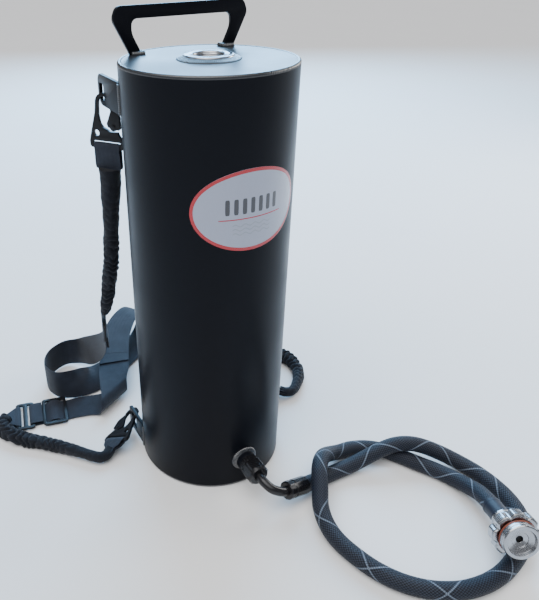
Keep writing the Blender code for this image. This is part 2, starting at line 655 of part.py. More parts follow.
def build_outlet():
    out = axis_matrix((0, 0, OUTLET_Z), (0, -1, 0))
    y = TANK_R
    bung = revolve("outlet_bung", [(0.0, y - 0.004), (0.0140, y - 0.004), (0.0140, y + 0.0095),
                                   (0.0130, y + 0.0105), (0.0, y + 0.0105)], COAT, out, seg=32)
    cut(bung, TANK_R + GAP)
    r = 0.0140 + GAP
    weld = revolve("outlet_weld", [(r, y - 0.004), (r + 0.0050, y - 0.004), (r + 0.0036, y + 0.0010),
                                   (r + 0.0014, y + 0.0030), (r, y + 0.0034)], COAT, out, seg=32)
    cut(weld, TANK_R + GAP)
    b = y + 0.0105 + GAP
    revolve("outlet_adapter", [(0.0, b), (0.0155, b), (0.0155, b + 0.0070), (0.0105, b + 0.0078),
                               (0.0105, b + 0.0160), (0.0, b + 0.0160)], STEEL, out, seg=36,
            shape=hexagon(0.0270))
    n = b + 0.0085
    revolve("swivel_nut", [(0.0110, n), (0.0158, n), (0.0164, n + 0.0010), (0.0164, n + 0.0170),
                           (0.0128, n + 0.0200), (0.0071, n + 0.0200), (0.0071, n + 0.0100),
                           (0.0110, n + 0.0085)], STEEL, out, seg=36, shape=hexagon(0.0295))
    start = -(b + 0.0160 + 0.0006)
    s = SOCKET_AT
    tube("elbow_tube", [(0, start - 0.0050, OUTLET_Z), (0, start - 0.0130, OUTLET_Z),
                        (0.0010, -0.1520, OUTLET_Z - 0.0015), (0.0065, -0.1620, 0.0385),
                        (0.0155, -0.1667, 0.0338), tuple(s - SOCKET_DIR * 0.0040)],
         0.0064, STEEL, 0.0052, 2, head=(0, start, OUTLET_Z), tail=s)
    m = axis_matrix(s + SOCKET_DIR * GAP, SOCKET_DIR)
    length = SOCKET_L
    revolve("hose_socket", [(0.0, 0.0), (0.0105, 0.0), (0.0128, 0.0012), (0.0128, 0.0085),
                            (0.0112, 0.0095), (0.0112, 0.0115), (0.0125, 0.0125),
                            (0.0125, length - 0.0010), (0.0115, length), (0.0, length)],
            STEEL, m, seg=32)


def build_hose():
    a = SOCKET_AT + SOCKET_DIR * (SOCKET_L + 2 * GAP)
    end = RING_AT - RING_DIR * 0.0620
    pts = [tuple(a + SOCKET_DIR * 0.010), (0.0860, -0.1576, 0.0128),
           (0.1050, -0.1560, 0.0112), (0.1230, -0.1558, 0.0110), (0.1430, -0.1572, 0.0128),
           (0.1660, -0.1605, 0.0200), (0.1900, -0.1650, 0.0292), (0.2140, -0.1705, 0.0340),
           (0.2390, -0.1800, 0.0312), (0.2630, -0.1960, 0.0222), (0.2820, -0.2190, 0.0140),
           (0.2930, -0.2470, 0.0110), (0.2955, -0.2750, 0.0110), (0.2930, -0.3020, 0.0110),
           (0.2840, -0.3270, 0.0110), (0.2670, -0.3480, 0.0110), (0.2440, -0.3640, 0.0110),
           (0.2180, -0.3740, 0.0110), (0.1900, -0.3800, 0.0110), (0.1600, -0.3800, 0.0110),
           (0.1300, -0.3730, 0.0110), (0.1010, -0.3570, 0.0110), (0.0780, -0.3345, 0.0110),
           (0.0620, -0.3070, 0.0110), (0.0525, -0.2760, 0.0110), (0.0485, -0.2490, 0.0114),
           (0.0500, -0.2245, 0.0150), (0.0565, -0.2035, 0.0220), (0.0680, -0.1855, 0.0320),
           (0.0778, -0.1690, 0.0400), (0.0890, -0.1560, 0.0422), (0.1010, -0.1460, 0.0392),
           (0.1150, -0.1375, 0.0302), (0.1310, -0.1310, 0.0200), (0.1490, -0.1280, 0.0130),
           (0.1680, -0.1285, 0.0110), (0.1890, -0.1375, 0.0110), (0.2070, -0.1530, 0.0110),
           (0.2205, -0.1730, 0.0110), (0.2330, -0.1960, 0.0110), (0.2460, -0.2190, 0.0110),
           (0.2550, -0.2420, 0.0122), (0.2580, -0.2640, 0.0165), (0.2560, -0.2840, 0.0232),
           tuple(end - RING_DIR * 0.012)]
    tube("hose", pts, HOSE_R, BRAID, 0.034, 2, head=a, tail=end - RING_DIR * GAP)


def build_coupling():
    m = axis_matrix(RING_AT, RING_DIR)
    revolve("hose_collar", [(0.0, -0.0620), (0.0116, -0.0620), (0.0122, -0.0612),
                            (0.0122, -0.0306), (0.0116, -0.0300), (0.0, -0.0300)], RUBBER, m, seg=32)
    revolve("coupling_body", [(0.0, -0.0297), (0.0135, -0.0297), (0.0145, -0.0287),
                              (0.0145, -0.0200), (0.0225, -0.0105), (0.0225, -0.0083),
                              (0.0203, -0.0083), (0.0203, 0.0077), (0.0196, 0.0077),
                              (0.0196, 0.0113), (0.0222, 0.0113), (0.0222, 0.0195),
                              (0.0210, 0.0207), (0.0172, 0.0207), (0.0160, 0.0165),
                              (0.0043, 0.0150), (0.0043, 0.0060), (0.0, 0.0060)], BARE, m, seg=36)
    revolve("coupling_o_ring", [(0.0200, 0.0094), (0.0204, 0.0082), (0.0213, 0.0080),
                                (0.0223, 0.0084), (0.0227, 0.0094), (0.0223, 0.0105),
                                (0.0213, 0.0109), (0.0204, 0.0106)],
            ((0.22, 0.06, 0.035), 0.5, 0.0), m, seg=32)

    def lobes(a, r, z):
        if r < 0.023:
            return r
        k = 0.5 + 0.5 * math.cos(8 * a)
        return r - 0.0034 * (1.0 - min(1.0, k * 1.7)) ** 1.5

    revolve("coupling_ring", [(0.0206, -0.0078), (0.0270, -0.0078), (0.0288, -0.0060),
                              (0.0288, 0.0052), (0.0270, 0.0070), (0.0206, 0.0070)],
            BARE, m, seg=64, shape=lobes)


def main():
    clear_scene()
    build_tank()
    build_handle()
    build_label()
    for side, tag in ((-1.0, "left"), (1.0, "right")):
        for spec, where in ((UPPER, "upper"), (LOWER, "lower")):
            build_lug("%s_%s_lug" % (tag, where), side, spec)
            build_lug_weld("%s_%s_lug_weld" % (tag, where), side, spec)
        build_hook(tag + "_upper", upper_hook(side))
        build_hook(tag + "_lower", lower_hook(side))
    build_left_sling()
    build_right_sling()
    build_outlet()
    build_hose()
    build_coupling()


main()
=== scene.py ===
"""Backpack liquid tank: the visual model.  Metres, +Z up, in the CAD's own frame.

Every CAD node gets a finer piece of the same size in the same place.  Sizes are
the CAD's; where a piece is softer or more detailed than its node, its function
says how.
"""
import math

import bmesh
import bpy
import numpy as np
from mathutils import Matrix, Vector, noise
from mathutils.geometry import tessellate_polygon


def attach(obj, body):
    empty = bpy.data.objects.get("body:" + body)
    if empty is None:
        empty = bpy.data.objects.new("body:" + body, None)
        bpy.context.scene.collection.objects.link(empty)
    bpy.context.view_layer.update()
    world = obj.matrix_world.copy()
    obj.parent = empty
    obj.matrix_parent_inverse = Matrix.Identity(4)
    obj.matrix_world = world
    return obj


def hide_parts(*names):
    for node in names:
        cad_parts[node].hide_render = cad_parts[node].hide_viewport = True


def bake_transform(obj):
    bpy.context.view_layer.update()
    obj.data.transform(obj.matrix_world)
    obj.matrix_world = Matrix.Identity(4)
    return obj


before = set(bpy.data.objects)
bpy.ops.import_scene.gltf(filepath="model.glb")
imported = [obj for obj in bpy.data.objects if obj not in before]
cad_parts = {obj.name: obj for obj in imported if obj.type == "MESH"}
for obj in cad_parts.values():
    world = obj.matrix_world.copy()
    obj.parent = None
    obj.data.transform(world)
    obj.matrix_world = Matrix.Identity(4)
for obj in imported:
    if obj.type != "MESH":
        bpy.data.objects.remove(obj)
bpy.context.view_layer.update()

# ---------------------------------------------------------------- dimensions
TANK_R, TANK_WALL, TANK_H, RIM = 0.1016, 0.0032, 0.556, 0.0040
PLATE_T = 0.0050
PLATE_TOP = TANK_H - 0.0006
FILLER_R, FILLER_BORE, FILLER_NECK, FILLER_RISE = 0.0287, 0.0180, 0.0225, 0.0052
THREAD = 0.0018
YARNS = 20.0
HANDLE_Y, HANDLE_T, HANDLE_H, HANDLE_BAR = 0.0635, 0.0060, 0.0520, 0.0140
HANDLE_FOOT, HANDLE_TOP = 0.0675, 0.0870
LUG_X, LUG_T = 0.0960, 0.0040
HOOK_R, HOOK_W = 0.0080, 0.0042
PIVOT = (0.0110, -0.0270)
SLOT_V = (-0.0500, -0.0460)
HOOK_END = -0.0550
OUTLET_Z, HOSE_R, SLEEVE_R = 0.045, 0.0108, 0.0100
STRAP_W, WEB_T, PLATE_THICK = 0.050, 0.0018, 0.0032
LABEL_A, LABEL_B, LABEL_Z = 0.0715, 0.0475, 0.4125
GAP = 0.0003
UPPER = (0.0988, 0.0795, 0.0935, 0.4985, 0.5345, 0.5050, 0.5245)
LOWER = (0.0828, 0.0550, 0.0724, 0.0060, 0.0430, 0.0155, 0.0375)
SOCKET_AT = Vector((0.0260, -0.1672, 0.0300))
SOCKET_DIR = Vector((0.945, 0.1515, -0.289)).normalized()
SOCKET_L = 0.036
RING_AT = Vector((0.2152, -0.3654, 0.0535))
RING_DIR = Vector((-0.444, -0.842, 0.306)).normalized()
TAU = 2.0 * math.pi

# distances down a hook, from the middle of its lug slot
UPPER_MOUTH, LOWER_MOUTH = -0.0980, -0.0700
LOOSE_TAB = -0.0900             # a mouth below this leaves the whole tab on its hook
COVER_HEAD, COVER_FREE = -0.0800, -0.1500
LOWER_COVER = -0.0740

# heights of the printed layers over the tank
PRINT_FOOT, PRINT_TOP, BORDER_TOP = 0.00055, 0.00066, 0.00068


# -------------------------------------------------------------------- camera
def build_camera():
    data = bpy.data.cameras.new("camera")
    data.lens, data.sensor_width = 38.04, 36.0
    data.shift_x = 0.125
    data.dof.use_dof = False
    data.clip_start, data.clip_end = 0.02, 50.0
    cam = bpy.data.objects.new("camera", data)
    bpy.context.collection.objects.link(cam)
    right = Vector((0.89169, -0.45243, -0.01418))
    up = Vector((0.23829, 0.44254, 0.86451))
    m = Matrix((right, up, right.cross(up))).transposed().to_4x4()
    m.translation = (-0.34789, -0.65429, 0.67697)
    cam.matrix_world = m
    bpy.context.scene.camera = cam


build_camera()


# ----------------------------------------------------------------- materials
class Look:
    """One Principled material, with short calls for its nodes."""

    def __init__(self, name, color, rough, metal=0.0, **more):
        self.mat = bpy.data.materials.new(name)
        self.mat.use_nodes = True
        self.nt = self.mat.node_tree
        self.b = self.nt.nodes["Principled BSDF"]
        self.set(self.b, 0, (*color, 1.0))
        self.set(self.b, "Roughness", rough)
        self.set(self.b, "Metallic", metal)
        for k, v in more.items():
            self.set(self.b, k.replace("_", " "), v)

    def set(self, node, key, v):
        s = node.inputs[key]
        if isinstance(v, bpy.types.NodeSocket):
            self.nt.links.new(v, s)
        else:
            s.default_value = v

    def node(self, kind, inputs=(), **props):
        n = self.nt.nodes.new("ShaderNode" + kind)
        for k, v in props.items():
            setattr(n, k, v)
        for k, v in dict(inputs).items():
            self.set(n, k, v)
        return n

    def math(self, op, a, b=0.0):
        return self.node("Math", {0: a, 1: b}, operation=op).outputs[0]

    def coords(self, kind="Object"):
        return self.node("TexCoord").outputs[kind]

    def split(self, vector):
        return self.node("SeparateXYZ", {0: vector}).outputs

    def noise(self, scale, detail=3.0, vector=None, rough=0.5):
        v = vector if vector is not None else self.coords()
        return self.node("TexNoise", {"Vector": v, "Scale": scale, "Detail": detail,
                                      "Roughness": rough}).outputs["Fac"]

    def ramp(self, fac, lo, hi, out_lo, out_hi):
        return self.node("MapRange", {0: fac, 1: lo, 2: hi, 3: out_lo, 4: out_hi}).outputs[0]

    def mix(self, fac, a, b):
        n = self.node("Mix", data_type="RGBA")
        self.set(n, 0, fac)
        self.set(n, 6, a if isinstance(a, bpy.types.NodeSocket) else (*a, 1.0))
        self.set(n, 7, b if isinstance(b, bpy.types.NodeSocket) else (*b, 1.0))
        return n.outputs[2]

    def bump(self, height, distance, strength=1.0):
        n = self.node("Bump", {"Strength": strength, "Distance": distance, "Height": height})
        self.set(self.b, "Normal", n.outputs[0])

    def color(self, v):
        self.set(self.b, "Base Color", v)

    def rough(self, v):
        self.set(self.b, "Roughness", v)


def coated(name, base, rough, worn=0.5, shine=0.20):
    """Sprayed coat: orange peel, uneven gloss and specks of dust."""
    k = Look(name, base, rough, Specular_IOR_Level=shine)
    peel = k.noise(650.0, 2.0)
    cloud = k.noise(14.0, 4.0)
    k.rough(k.ramp(cloud, 0.3, 0.7, rough - 0.05, rough + 0.06))
    dust = k.ramp(k.noise(420.0, 6.0, rough=0.7), 0.68, 0.78, 0.0, worn)
    k.color(k.mix(dust, base, (0.09, 0.10, 0.115)))
    k.bump(peel, 0.00012, 0.35)
    return k.mat


def turned(name, base, rough, metal=1.0):
    """Lathe marks: rings across the second UV direction."""
    k = Look(name, base, rough, metal)
    uv = k.coords("UV")
    m = k.node("Mapping", {"Vector": uv, "Scale": (25.0, 5200.0, 1.0)}).outputs[0]
    rings = k.noise(1.0, 3.0, m)
    k.rough(k.ramp(rings, 0.25, 0.75, rough - 0.08, rough + 0.14))
    spots = k.ramp(k.noise(90.0, 4.0), 0.35, 0.7, 0.0, 0.35)
    k.color(k.mix(spots, base, tuple(0.62 * c for c in base)))
    k.bump(rings, 0.00004, 0.5)
    return k.mat


def woven(name, dark, light, rib=0.0015, sheen=0.10):
    """Belt weave in chevrons, with a slightly worn face; rib is its spacing.  Its colour follows the
    weave's relief, darker in the troughs and lighter on the ribs: painted shade and highlight.
    """
    k = Look(name, dark, 0.70, Sheen_Weight=sheen, Sheen_Roughness=0.4, Specular_IOR_Level=0.25)
    u, v, _ = k.split(k.coords("UV"))
    zig = k.math("ABSOLUTE", k.math("SUBTRACT", k.math("FRACT", k.math("MULTIPLY", u, 160.0)), 0.5))
    lean = k.math("ADD", v, k.math("MULTIPLY", zig, 0.0040))
    warp = k.math("SINE", k.math("MULTIPLY", lean, TAU / rib))
    weft = k.math("SINE", k.math("MULTIPLY", u, TAU / (rib * 0.7)))
    h = k.math("ADD", k.math("MULTIPLY", warp, 0.35), k.math("MULTIPLY", weft, 0.15))
    h = k.math("ADD", h, 0.5)
    worn = k.ramp(k.noise(60.0, 4.0), 0.3, 0.75, 0.0, 0.5)
    # colour from the weave's height: the darker troughs are painted shade, the lighter ribs a painted
    # highlight; worn patches lighten it too
    k.color(k.mix(k.math("MULTIPLY", h, k.math("ADD", worn, 0.45)), dark, light))
    k.bump(h, 0.0003, 0.7)
    return k.mat


def braided():
    """Two families of crossing yarns, over and under; some yarns are pale.  The colour follows the relief:
    near-black in the grooves between yarns and lighter on their crests, a painted shade and highlight.
    """
    k = Look("hose_braid", (0.02, 0.03, 0.05), 0.50, Specular_IOR_Level=0.22)
    u, v, _ = k.split(k.coords("UV"))
    around = k.math("MULTIPLY", u, YARNS)
    along = k.math("MULTIPLY", v, YARNS / (TAU * HOSE_R) * 0.80)
    a, b = k.math("ADD", around, along), k.math("SUBTRACT", around, along)
    ra = k.math("ABSOLUTE", k.math("SINE", k.math("MULTIPLY", a, math.pi)))
    rb = k.math("ABSOLUTE", k.math("SINE", k.math("MULTIPLY", b, math.pi)))
    over = k.math("PINGPONG", k.math("ADD", k.math("FLOOR", a), k.math("FLOOR", b)), 1.0)
    h = k.math("ADD", k.math("MULTIPLY", ra, k.math("ADD", k.math("MULTIPLY", over, 0.6), 0.3)),
               k.math("MULTIPLY", rb, k.math("SUBTRACT", 0.9, k.math("MULTIPLY", over, 0.6))))
    # colour from the relief height: the near-black grooves are painted shade, the lighter crests a painted
    # highlight
    body = k.mix(k.ramp(h, 0.45, 1.05, 0.0, 1.0), (0.0004, 0.0007, 0.0022), (0.025, 0.031, 0.047))
    pale = []
    for c in (a, b):
        near = k.math("FRACT", k.math("DIVIDE", c, YARNS))
        pale.append(k.ramp(k.math("ABSOLUTE", k.math("SUBTRACT", near, 0.5)), 0.011, 0.017, 1.0, 0.0))
    # pale tracer yarns; their fading into the grooves is painted shade
    tracer = k.math("MULTIPLY", k.math("MAXIMUM", pale[0], pale[1]), k.ramp(h, 0.2, 0.7, 0.2, 0.8))
    k.color(k.mix(tracer, body, (0.20, 0.25, 0.32)))
    k.bump(h, 0.0005, 0.8)
    return k.mat


def printed(name, base, rough=0.25):
    """Laminated film with a faint grain."""
    k = Look(name, base, rough, Coat_Weight=0.3)
    k.color(k.mix(k.ramp(k.noise(260.0, 3.0), 0.3, 0.7, 0.0, 0.10), base, tuple(0.8 * c for c in base)))
    k.bump(k.noise(500.0, 1.0), 0.00003, 0.3)
    return k.mat


def moulded(name, base, rough):
    """Rubber or moulded plastic with a fine grain and a little dust."""
    k = Look(name, base, rough, Specular_IOR_Level=0.28)
    fine = k.noise(1400.0, 2.0)
    k.color(k.mix(k.ramp(k.noise(240.0, 5.0), 0.6, 0.8, 0.0, 0.35), base,
                  tuple(c + 0.05 for c in base)))
    k.bump(fine, 0.00008, 0.4)
    return k.mat


COAT = coated("satin_black_coat", (0.0048, 0.0056, 0.0085), 0.33, 0.35, 0.08)
# The top plate's coat is the same satin black paint as the sides. Its lighter base colour paints the
# highlight that the top face catches from overhead light.
LIT_TOP_COAT = coated("satin_black_top_painted_highlight", (0.011, 0.013, 0.018), 0.36, 0.5, 0.95)
WELD = coated("coated_weld", (0.012, 0.0145, 0.019), 0.24, 0.6, 0.95)
STEEL = coated("black_oxide", (0.0085, 0.009, 0.011), 0.34, 0.7)
ANODISED = turned("black_anodised", (0.010, 0.010, 0.012), 0.22, 0.25)
BARE = turned("turned_aluminium", (0.40, 0.41, 0.43), 0.20)
WEB = woven("strap_webbing", (0.0038, 0.0055, 0.0110), (0.036, 0.046, 0.068))
SLEEVE = woven("gathered_sleeve", (0.0020, 0.0026, 0.0050), (0.010, 0.013, 0.023), 0.0011, 0.06)
THREAD_LOOK = moulded("stitching", (0.020, 0.023, 0.034), 0.6)
BRAID = braided()
COLLAR = moulded("collar_rubber", (0.013, 0.016, 0.027), 0.48)
# near-black plug material for the coupling's bore: painted shade of the hole
BORE_SHADE = moulded("bore_painted_shade", (0.0015, 0.0015, 0.002), 0.7)
SEAL = moulded("seal_rubber", (0.20, 0.052, 0.030), 0.42)
FILM = printed("label_film", (0.31, 0.34, 0.43))
RED = printed("label_red", (0.38, 0.010, 0.018))
INK = printed("label_ink", (0.035, 0.037, 0.045))
TINT = printed("label_tint", (0.26, 0.29, 0.34))


# ------------------------------------------------------------------- helpers
def finish(name, bm, mat, crease=35.0):
    bmesh.ops.remove_doubles(bm, verts=bm.verts, dist=2e-6)
    edges = [e for e in bm.edges if e.is_boundary]
    if edges:
        bmesh.ops.holes_fill(bm, edges=edges, sides=0)
    bmesh.ops.recalc_face_normals(bm, faces=bm.faces)
    me = bpy.data.meshes.new(name)
    bm.to_mesh(me)
    bm.free()
    me.materials.append(mat)
    me.shade_smooth()
    me.set_sharp_from_angle(angle=math.radians(crease))
    ob = bpy.data.objects.new(name, me)
    bpy.context.collection.objects.link(ob)
    return ob


def surface(name, points, uvs, mat, crease=35.0):
    """Quads over an (n, m, 3) array of points.  Seams and poles are merged and
    open ends are closed, so that the piece is one solid."""
    p, t = np.asarray(points, float), np.asarray(uvs, float)
    n, m = p.shape[:2]
    bm = bmesh.new()
    layer = bm.loops.layers.uv.new("UVMap")
    v = [bm.verts.new(q) for q in p.reshape(-1, 3)]
    t = t.reshape(-1, 2)
    for i in range(n - 1):
        for j in range(m - 1):
            ids = (i * m + j, i * m + j + 1, (i + 1) * m + j + 1, (i + 1) * m + j)
            f = bm.faces.new([v[k] for k in ids])
            for loop, k in zip(f.loops, ids):
                loop[layer].uv = t[k]
    return finish(name, bm, mat, crease)


def axis_matrix(origin, axis):
    z = Vector(axis).normalized()
    x = Vector((0.0, 0.0, 1.0))
    if abs(x.dot(z)) > 0.98:
        x = Vector((1.0, 0.0, 0.0))
    x = (x - z * x.dot(z)).normalized()
    m = Matrix((x, z.cross(x), z)).transposed().to_4x4()
    m.translation = Vector(origin)
    return m


def circle(cx, cy, r, n=24):
    return [(cx + r * math.cos(TAU * i / n), cy + r * math.sin(TAU * i / n)) for i in range(n)]


def rounded(points, radii, steps=5):
    """Outline with its corners turned into arcs."""
    n = len(points)
    if not hasattr(radii, "__len__"):
        radii = [radii] * n
    out = []
    for i in range(n):
        p, r = Vector(points[i]), radii[i]
        a, b = Vector(points[i - 1]) - p, Vector(points[(i + 1) % n]) - p
        if r <= 0.0 or a.length < 1e-9 or b.length < 1e-9 or a.angle(b) > 3.1:
            out.append(tuple(p))
            continue
        half = a.angle(b) / 2.0
        d = min(r / math.tan(half), 0.49 * a.length, 0.49 * b.length)
        r = d * math.tan(half)
        c = p + (a.normalized() + b.normalized()).normalized() * (r / math.sin(half))
        s, e = p + a.normalized() * d - c, p + b.normalized() * d - c
        turn = math.atan2(s.x * e.y - s.y * e.x, s.dot(e))
        for k in range(steps + 1):
            w = turn * k / steps
            out.append(tuple(c + Vector((s.x * math.cos(w) - s.y * math.sin(w),
                                         s.x * math.sin(w) + s.y * math.cos(w)))))
    return out


def revolve(name, profile, mat, matrix=None, seg=128, shape=None, soft=0.0, crease=35.0):
    """(radius, height) points turned about local Z; soft rounds its corners."""
    solid = profile[0][0] == 0.0 and profile[-1][0] == 0.0
    if soft:
        radii = [0.0 if r == 0.0 else soft for r, _ in profile]
        profile = rounded(profile, radii, 3)
    if not solid:
        profile = list(profile) + [profile[0]]
    matrix = matrix or Matrix()
    rows, uvs, run, last = [], [], 0.0, profile[0]
    for r, z in profile:
        run += math.hypot(r - last[0], z - last[1])
        last = (r, z)
        row, uv = [], []
        for i in range(seg + 1):
            a = TAU * (i % seg) / seg
            rr = shape(a, r, z) if shape else (r, z)
            rr = rr if isinstance(rr, tuple) else (rr, z)
            row.append(matrix @ Vector((rr[0] * math.cos(a), rr[0] * math.sin(a), rr[1])))
            uv.append((i / seg, run))
        rows.append(row)
        uvs.append(uv)
    return surface(name, rows, uvs, mat, crease)


def plate(name, outline, holes, thickness, matrix, mat, bevel=0.0006):
    """Flat plate with its edges rounded over."""
    loops = [outline] + list(holes)
    flat = [Vector((x, y, 0.0)) for loop in loops for x, y in loop]
    tris = tessellate_polygon([[Vector((x, y, 0.0)) for x, y in loop] for loop in loops])
    bm = bmesh.new()
    top = [bm.verts.new(v + Vector((0, 0, thickness / 2))) for v in flat]
    low = [bm.verts.new(v - Vector((0, 0, thickness / 2))) for v in flat]
    for a, b, c in tris:
        bm.faces.new((top[a], top[b], top[c]))
        bm.faces.new((low[c], low[b], low[a]))
    k = 0
    for loop in loops:
        n = len(loop)
        for i in range(n):
            j = (i + 1) % n
            bm.faces.new((top[k + i], top[k + j], low[k + j], low[k + i]))
        k += n
    bmesh.ops.recalc_face_normals(bm, faces=bm.faces)
    bmesh.ops.dissolve_limit(bm, angle_limit=0.01, verts=bm.verts, edges=bm.edges)
    rim = [e for e in bm.edges if len(e.link_faces) == 2
           and e.calc_face_angle(0.0) > math.radians(60)]
    bmesh.ops.bevel(bm, geom=rim, offset=bevel, segments=3, profile=0.5, affect="EDGES",
                    clamp_overlap=True)
    bm.transform(matrix)
    return finish(name, bm, mat, 50.0)


def smooth_path(points, step):
    p = [Vector(q) for q in points]
    p = [p[0] * 2 - p[1]] + p + [p[-1] * 2 - p[-2]]
    fine = []
    for i in range(1, len(p) - 2):
        a, b, c, d = p[i - 1:i + 3]
        for k in range(24):
            t = k / 24.0
            fine.append(0.5 * (2 * b + (c - a) * t + (2 * a - 5 * b + 4 * c - d) * t * t
                               + (3 * b - a - 3 * c + d) * t ** 3))
    fine.append(p[-2])
    run = [0.0]
    for a, b in zip(fine, fine[1:]):
        run.append(run[-1] + (b - a).length)
    n = max(2, round(run[-1] / step))
    xyz = np.array([tuple(q) for q in fine])
    s = np.linspace(0.0, run[-1], n + 1)
    return [Vector(q) for q in np.stack([np.interp(s, run, xyz[:, i]) for i in range(3)], 1)]


def tube(name, path, radius, mat, sides=32, relief=None, crease=60.0):
    """Tube along a fine path, its frame carried along without twist.
    relief(s, angle) is a factor on the radius."""
    t = [(path[min(i + 1, len(path) - 1)] - path[max(i - 1, 0)]).normalized()
         for i in range(len(path))]
    x = t[0].orthogonal().normalized()
    rows, uvs, run = [], [], 0.0
    for i, (p, d) in enumerate(zip(path, t)):
        if i:
            run += (p - path[i - 1]).length
        x = (x - d * x.dot(d)).normalized()
        y = d.cross(x)
        row, uv = [], []
        for j in range(sides + 1):
            a = TAU * (j % sides) / sides
            r = radius * (relief(run, a) if relief else 1.0)
            row.append(p + (x * math.cos(a) + y * math.sin(a)) * r)
            uv.append((j / sides, run))
        rows.append(row)
        uvs.append(uv)
    return surface(name, rows, uvs, mat, crease)


def spline(rows, per):
    """Catmull-Rom through rows of numbers."""
    q = np.array(rows, float)
    out = []
    for i in range(len(q) - 1):
        a, b, c, d = q[max(i - 1, 0)], q[i], q[i + 1], q[min(i + 2, len(q) - 1)]
        for k in range(per):
            t = k / per
            out.append(0.5 * (2 * b + (c - a) * t + (2 * a - 5 * b + 4 * c - d) * t * t
                              + (3 * b - a - 3 * c + d) * t ** 3))
    return np.array(out + [q[-1]])


def ribbon(name, rows, thickness, mat, per=8, across=10):
    """Woven strap: (centre, width vector) rows, with rounded selvedges."""
    q = spline([(*r[0], *r[1]) for r in rows], per)
    pts, uvs, run = [], [], 0.0
    for i in range(len(q)):
        c, w = Vector(q[i][:3]), Vector(q[i][3:])
        a, b = Vector(q[max(i - 1, 0)][:3]), Vector(q[min(i + 1, len(q) - 1)][:3])
        run += (c - a).length if i else 0.0
        n = (b - a).cross(w).normalized()
        ring, uv = [], []
        for sign in (-1, 1):
            for k in range(across + 1):
                f = (k / across - 0.5) * -sign
                edge = math.sqrt(max(0.0, 1.0 - (abs(f) * 2.0) ** 10))
                h = (0.35 + 0.65 * edge) * thickness / 2
                ring.append(c + w * f + n * h * sign)
                uv.append((f * w.length, run))
        ring.append(ring[0])
        uv.append(uv[0])
        pts.append(ring)
        uvs.append(uv)
    return surface(name, pts, uvs, mat, 60.0)


def bead(name, path, radius, mat=None, pitch=0.0022):
    """Weld bead: overlapping puddles along a line."""
    def relief(s, a):
        k = (s / pitch) % 1.0
        puddle = math.sqrt(1.0 - (2 * k - 1.0) ** 2 * 0.9)
        return 0.86 + 0.16 * puddle + 0.05 * noise.noise((s * 300, a, 0))
    return tube(name, smooth_path(path, pitch / 5), radius, mat or WELD, 14, relief, 80.0)


def stitches(name, lines, radius=0.00032, pitch=0.0034):
    """Short raised threads along straight lines (start, end)."""
    bm = bmesh.new()
    for a, b in lines:
        a, b = Vector(a), Vector(b)
        d = (b - a)
        count = max(1, int(d.length / pitch))
        for i in range(count):
            mid = a + d * ((i + 0.5) / count)
            m = axis_matrix(mid, d) @ Matrix.Diagonal((radius, radius, pitch * 0.38, 1.0))
            bmesh.ops.create_uvsphere(bm, u_segments=8, v_segments=6, radius=1.0, matrix=m)
    return finish(name, bm, THREAD_LOOK, 80.0)


def show(ob, node=None, body="tank"):
    """ob stands for its CAD node, which it hides, and rides its body."""
    if node:
        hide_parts(node)
    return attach(ob, body)


def swap(node, ob, body="tank"):
    return show(ob, node, body)


# ---------------------------------------------------------------------- hose
HOSE = [(0.0860, -0.1576, 0.0128), (0.1050, -0.1560, 0.0112), (0.1230, -0.1558, 0.0110),
        (0.1430, -0.1572, 0.0128), (0.1660, -0.1605, 0.0200), (0.1900, -0.1650, 0.0292),
        (0.2140, -0.1705, 0.0340), (0.2390, -0.1800, 0.0312), (0.2630, -0.1960, 0.0222),
        (0.2820, -0.2190, 0.0140), (0.2930, -0.2470, 0.0110), (0.2955, -0.2750, 0.0110),
        (0.2930, -0.3020, 0.0110), (0.2840, -0.3270, 0.0110), (0.2670, -0.3480, 0.0110),
        (0.2440, -0.3640, 0.0110), (0.2180, -0.3740, 0.0110), (0.1900, -0.3800, 0.0110),
        (0.1600, -0.3800, 0.0110), (0.1300, -0.3730, 0.0110), (0.1010, -0.3570, 0.0110),
        (0.0780, -0.3345, 0.0110), (0.0620, -0.3070, 0.0110), (0.0525, -0.2760, 0.0110),
        (0.0485, -0.2490, 0.0114), (0.0500, -0.2245, 0.0150), (0.0565, -0.2035, 0.0220),
        (0.0680, -0.1855, 0.0320), (0.0778, -0.1690, 0.0400), (0.0890, -0.1560, 0.0422),
        (0.1010, -0.1460, 0.0392), (0.1150, -0.1375, 0.0302), (0.1310, -0.1310, 0.0200),
        (0.1490, -0.1280, 0.0130), (0.1680, -0.1285, 0.0110), (0.1890, -0.1375, 0.0110),
        (0.2070, -0.1530, 0.0110), (0.2205, -0.1730, 0.0110), (0.2330, -0.1960, 0.0110),
        (0.2460, -0.2190, 0.0110), (0.2550, -0.2420, 0.0122), (0.2580, -0.2640, 0.0165),
        (0.2560, -0.2840, 0.0232)]


def yarns(s, a):
    """Relief of the braid, a quarter of a millimetre deep."""
    u, v = a / TAU * YARNS, s * YARNS / (TAU * HOSE_R) * 0.80
    return 1.0 + 0.016 * (abs(math.sin(math.pi * (u + v))) + abs(math.sin(math.pi * (u - v))) - 1.2)


def build_hose():
    start = SOCKET_AT + SOCKET_DIR * (SOCKET_L + 2 * GAP)
    end = RING_AT - RING_DIR * (0.0620 + GAP)
    pts = [start, start + SOCKET_DIR * 0.010] + [Vector(p) for p in HOSE]
    pts += [end - RING_DIR * 0.012, end]
    path = smooth_path(pts, 0.0014)
    hose = swap("hose", tube("hose_braided", path, HOSE_R, BRAID, 72, yarns))
    length = sum((b - a).length for a, b in zip(path, path[1:]))
    return hose, path, start, length


